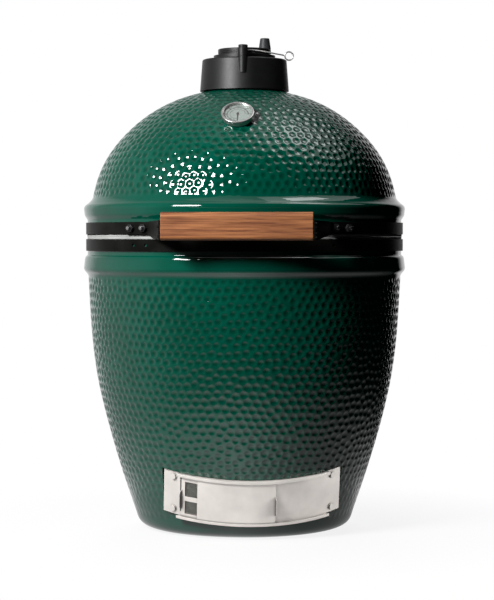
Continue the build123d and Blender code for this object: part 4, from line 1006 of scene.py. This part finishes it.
def make_floor():
    """White to the camera. In reflections it glows around the grill's foot, less to the right."""
    material, tree, shader = surface("floor_white", Base_Color=rgba((0.86, 0.86, 0.86)), Roughness=0.9)
    where = tree.nodes.new("ShaderNodeTexCoord").outputs["Object"]
    reach = compute(tree, "ShaderNodeVectorMath", "LENGTH", where)
    stops = [(distance / POOL_REACH, share) for distance, share in POOL]
    pool = by_place(tree, spread(tree, reach, 0.0, POOL_REACH, 0.0, 1.0), stops)
    peak = compute(tree, "ShaderNodeVectorMath", "MULTIPLY", pool, (POOL_PEAK,) * 3)
    near = scale_by(tree, peak, by_azimuth(tree, where, SIDES))
    beyond = scale_by(tree, by_azimuth(tree, where, SKY), spread(tree, reach, 0.4, 0.8, 0.0, 1.0))
    mirrored = emission(tree, compute(tree, "ShaderNodeVectorMath", "ADD", near, beyond))
    spill = node(tree, "ShaderNodeEmission", Color=near, Strength=POOL_SPILL).outputs[0]
    rays = tree.nodes.new("ShaderNodeLightPath").outputs
    fading = spread(tree, reach, 0.25, 0.6, 0.86, 1.0)
    seen = mix_shaders(tree, fading, shader.outputs[0], emission(tree, rgba((1, 1, 1))))
    unseen = mix_shaders(tree, rays["Is Glossy Ray"], spill, mirrored)
    mixed = mix_shaders(tree, rays["Is Camera Ray"], unseen, seen)
    tree.links.new(mixed, tree.nodes["Material Output"].inputs["Surface"])
    return material


def by_place(tree, factor, stops):
    """Grey level from a list of places between 0 and 1 and brightnesses."""
    made = node(tree, "ShaderNodeValToRGB", Fac=factor)
    marks = made.color_ramp.elements
    while len(marks) < len(stops):
        marks.new(0.5)
    for mark, (position, bright) in zip(marks, stops):
        mark.position = position
        mark.color = rgba((bright,) * 3)
    return made.outputs["Color"]


def by_azimuth(tree, direction, stops):
    """Grey level from a list of azimuths and brightnesses."""
    axes = node(tree, "ShaderNodeSeparateXYZ", Vector=direction)
    forward = compute(tree, "ShaderNodeMath", "MULTIPLY", axes.outputs["Y"], -1.0)
    azimuth = compute(tree, "ShaderNodeMath", "ARCTAN2", axes.outputs["X"], forward)
    share = spread(tree, azimuth, -math.pi, math.pi, 0.0, 1.0)
    return by_place(tree, share, [((degrees + 180) / 360, bright) for degrees, bright in stops])


def make_surroundings():
    """White to the camera. In reflections, bright behind and to the left and black to the right."""
    world = bpy.data.worlds.new("studio")
    SCENE.world = world
    world.use_nodes = True
    tree = world.node_tree
    tree.nodes.clear()
    out = tree.nodes.new("ShaderNodeOutputWorld")
    rays = tree.nodes.new("ShaderNodeLightPath").outputs
    where = tree.nodes.new("ShaderNodeTexCoord").outputs["Generated"]
    axes = node(tree, "ShaderNodeSeparateXYZ", Vector=where)
    higher = spread(tree, axes.outputs["Z"], 0.1, 0.75, 1.0, 0.32)
    spill = spread(tree, rays["Is Diffuse Ray"], 0.0, 1.0, 1.0, SKY_SPILL)
    strength = compute(tree, "ShaderNodeMath", "MULTIPLY", spill, higher)
    around = node(tree, "ShaderNodeBackground", Color=by_azimuth(tree, where, SKY), Strength=strength)
    white = node(tree, "ShaderNodeBackground", Color=rgba((1, 1, 1)))
    mixed = mix_shaders(tree, rays["Is Camera Ray"], around.outputs[0], white.outputs[0])
    tree.links.new(mixed, out.inputs["Surface"])


CAMERA_DISTANCE = 3.4
CAMERA_HEIGHT = 0.4965        # the felt joint's
CAMERA_AZIMUTH = math.radians(2.1)
CAMERA_DIP = math.radians(1.81)
CAMERA_AIM = math.radians(0.073)        # how far right of the grill's axis it looks
CAMERA_LENS = 117.9


def make_camera():
    """In front and a little to the right, looking a little down."""
    data = bpy.data.cameras.new("camera")
    data.sensor_width = 36.0
    data.lens = CAMERA_LENS
    camera = show("camera", data)
    x, y = CAMERA_DISTANCE * math.sin(CAMERA_AZIMUTH), -CAMERA_DISTANCE * math.cos(CAMERA_AZIMUTH)
    camera.location = (x, y, CAMERA_HEIGHT)
    camera.rotation_euler = (math.pi / 2 - CAMERA_DIP, 0, CAMERA_AZIMUTH - CAMERA_AIM)
    SCENE.camera = camera


DOOR_PIECES = ("draft_door_frame", "draft_door", "screen_door", "frame_screws", "frame_washers")


def make_lights():
    """Key at the left, panels above that are only mirrored, a fill behind, and two cards for the door."""
    area("key", -39, 27.5, 2.4, (0.72, 0.6), 84)
    area("overhead", 90, 62, 2.2, (1.6, 1.7), 7.5, mirrored_only=True)
    area("overhead_core", 90, 66, 2.1, (0.62, 0.62), 5.0, mirrored_only=True)
    area("ceiling", 20, 83, 2.2, (1.6, 1.6), 3, mirrored_only=True)
    area("rear", 180, 10, 2.4, (1.5, 1.5), 55).visible_glossy = False
    only_on(area("door_card", 72, 8, 1.5, (0.7, 0.7), 17, height=0.12), DOOR_PIECES)
    only_on(area("door_front_card", -20, 5, 1.8, (0.7, 0.7), 5, height=0.12), DOOR_PIECES)


make_stage()
make_camera()
make_lights()

SCENE.view_settings.view_transform = "Standard"
SCENE.view_settings.look = "None"
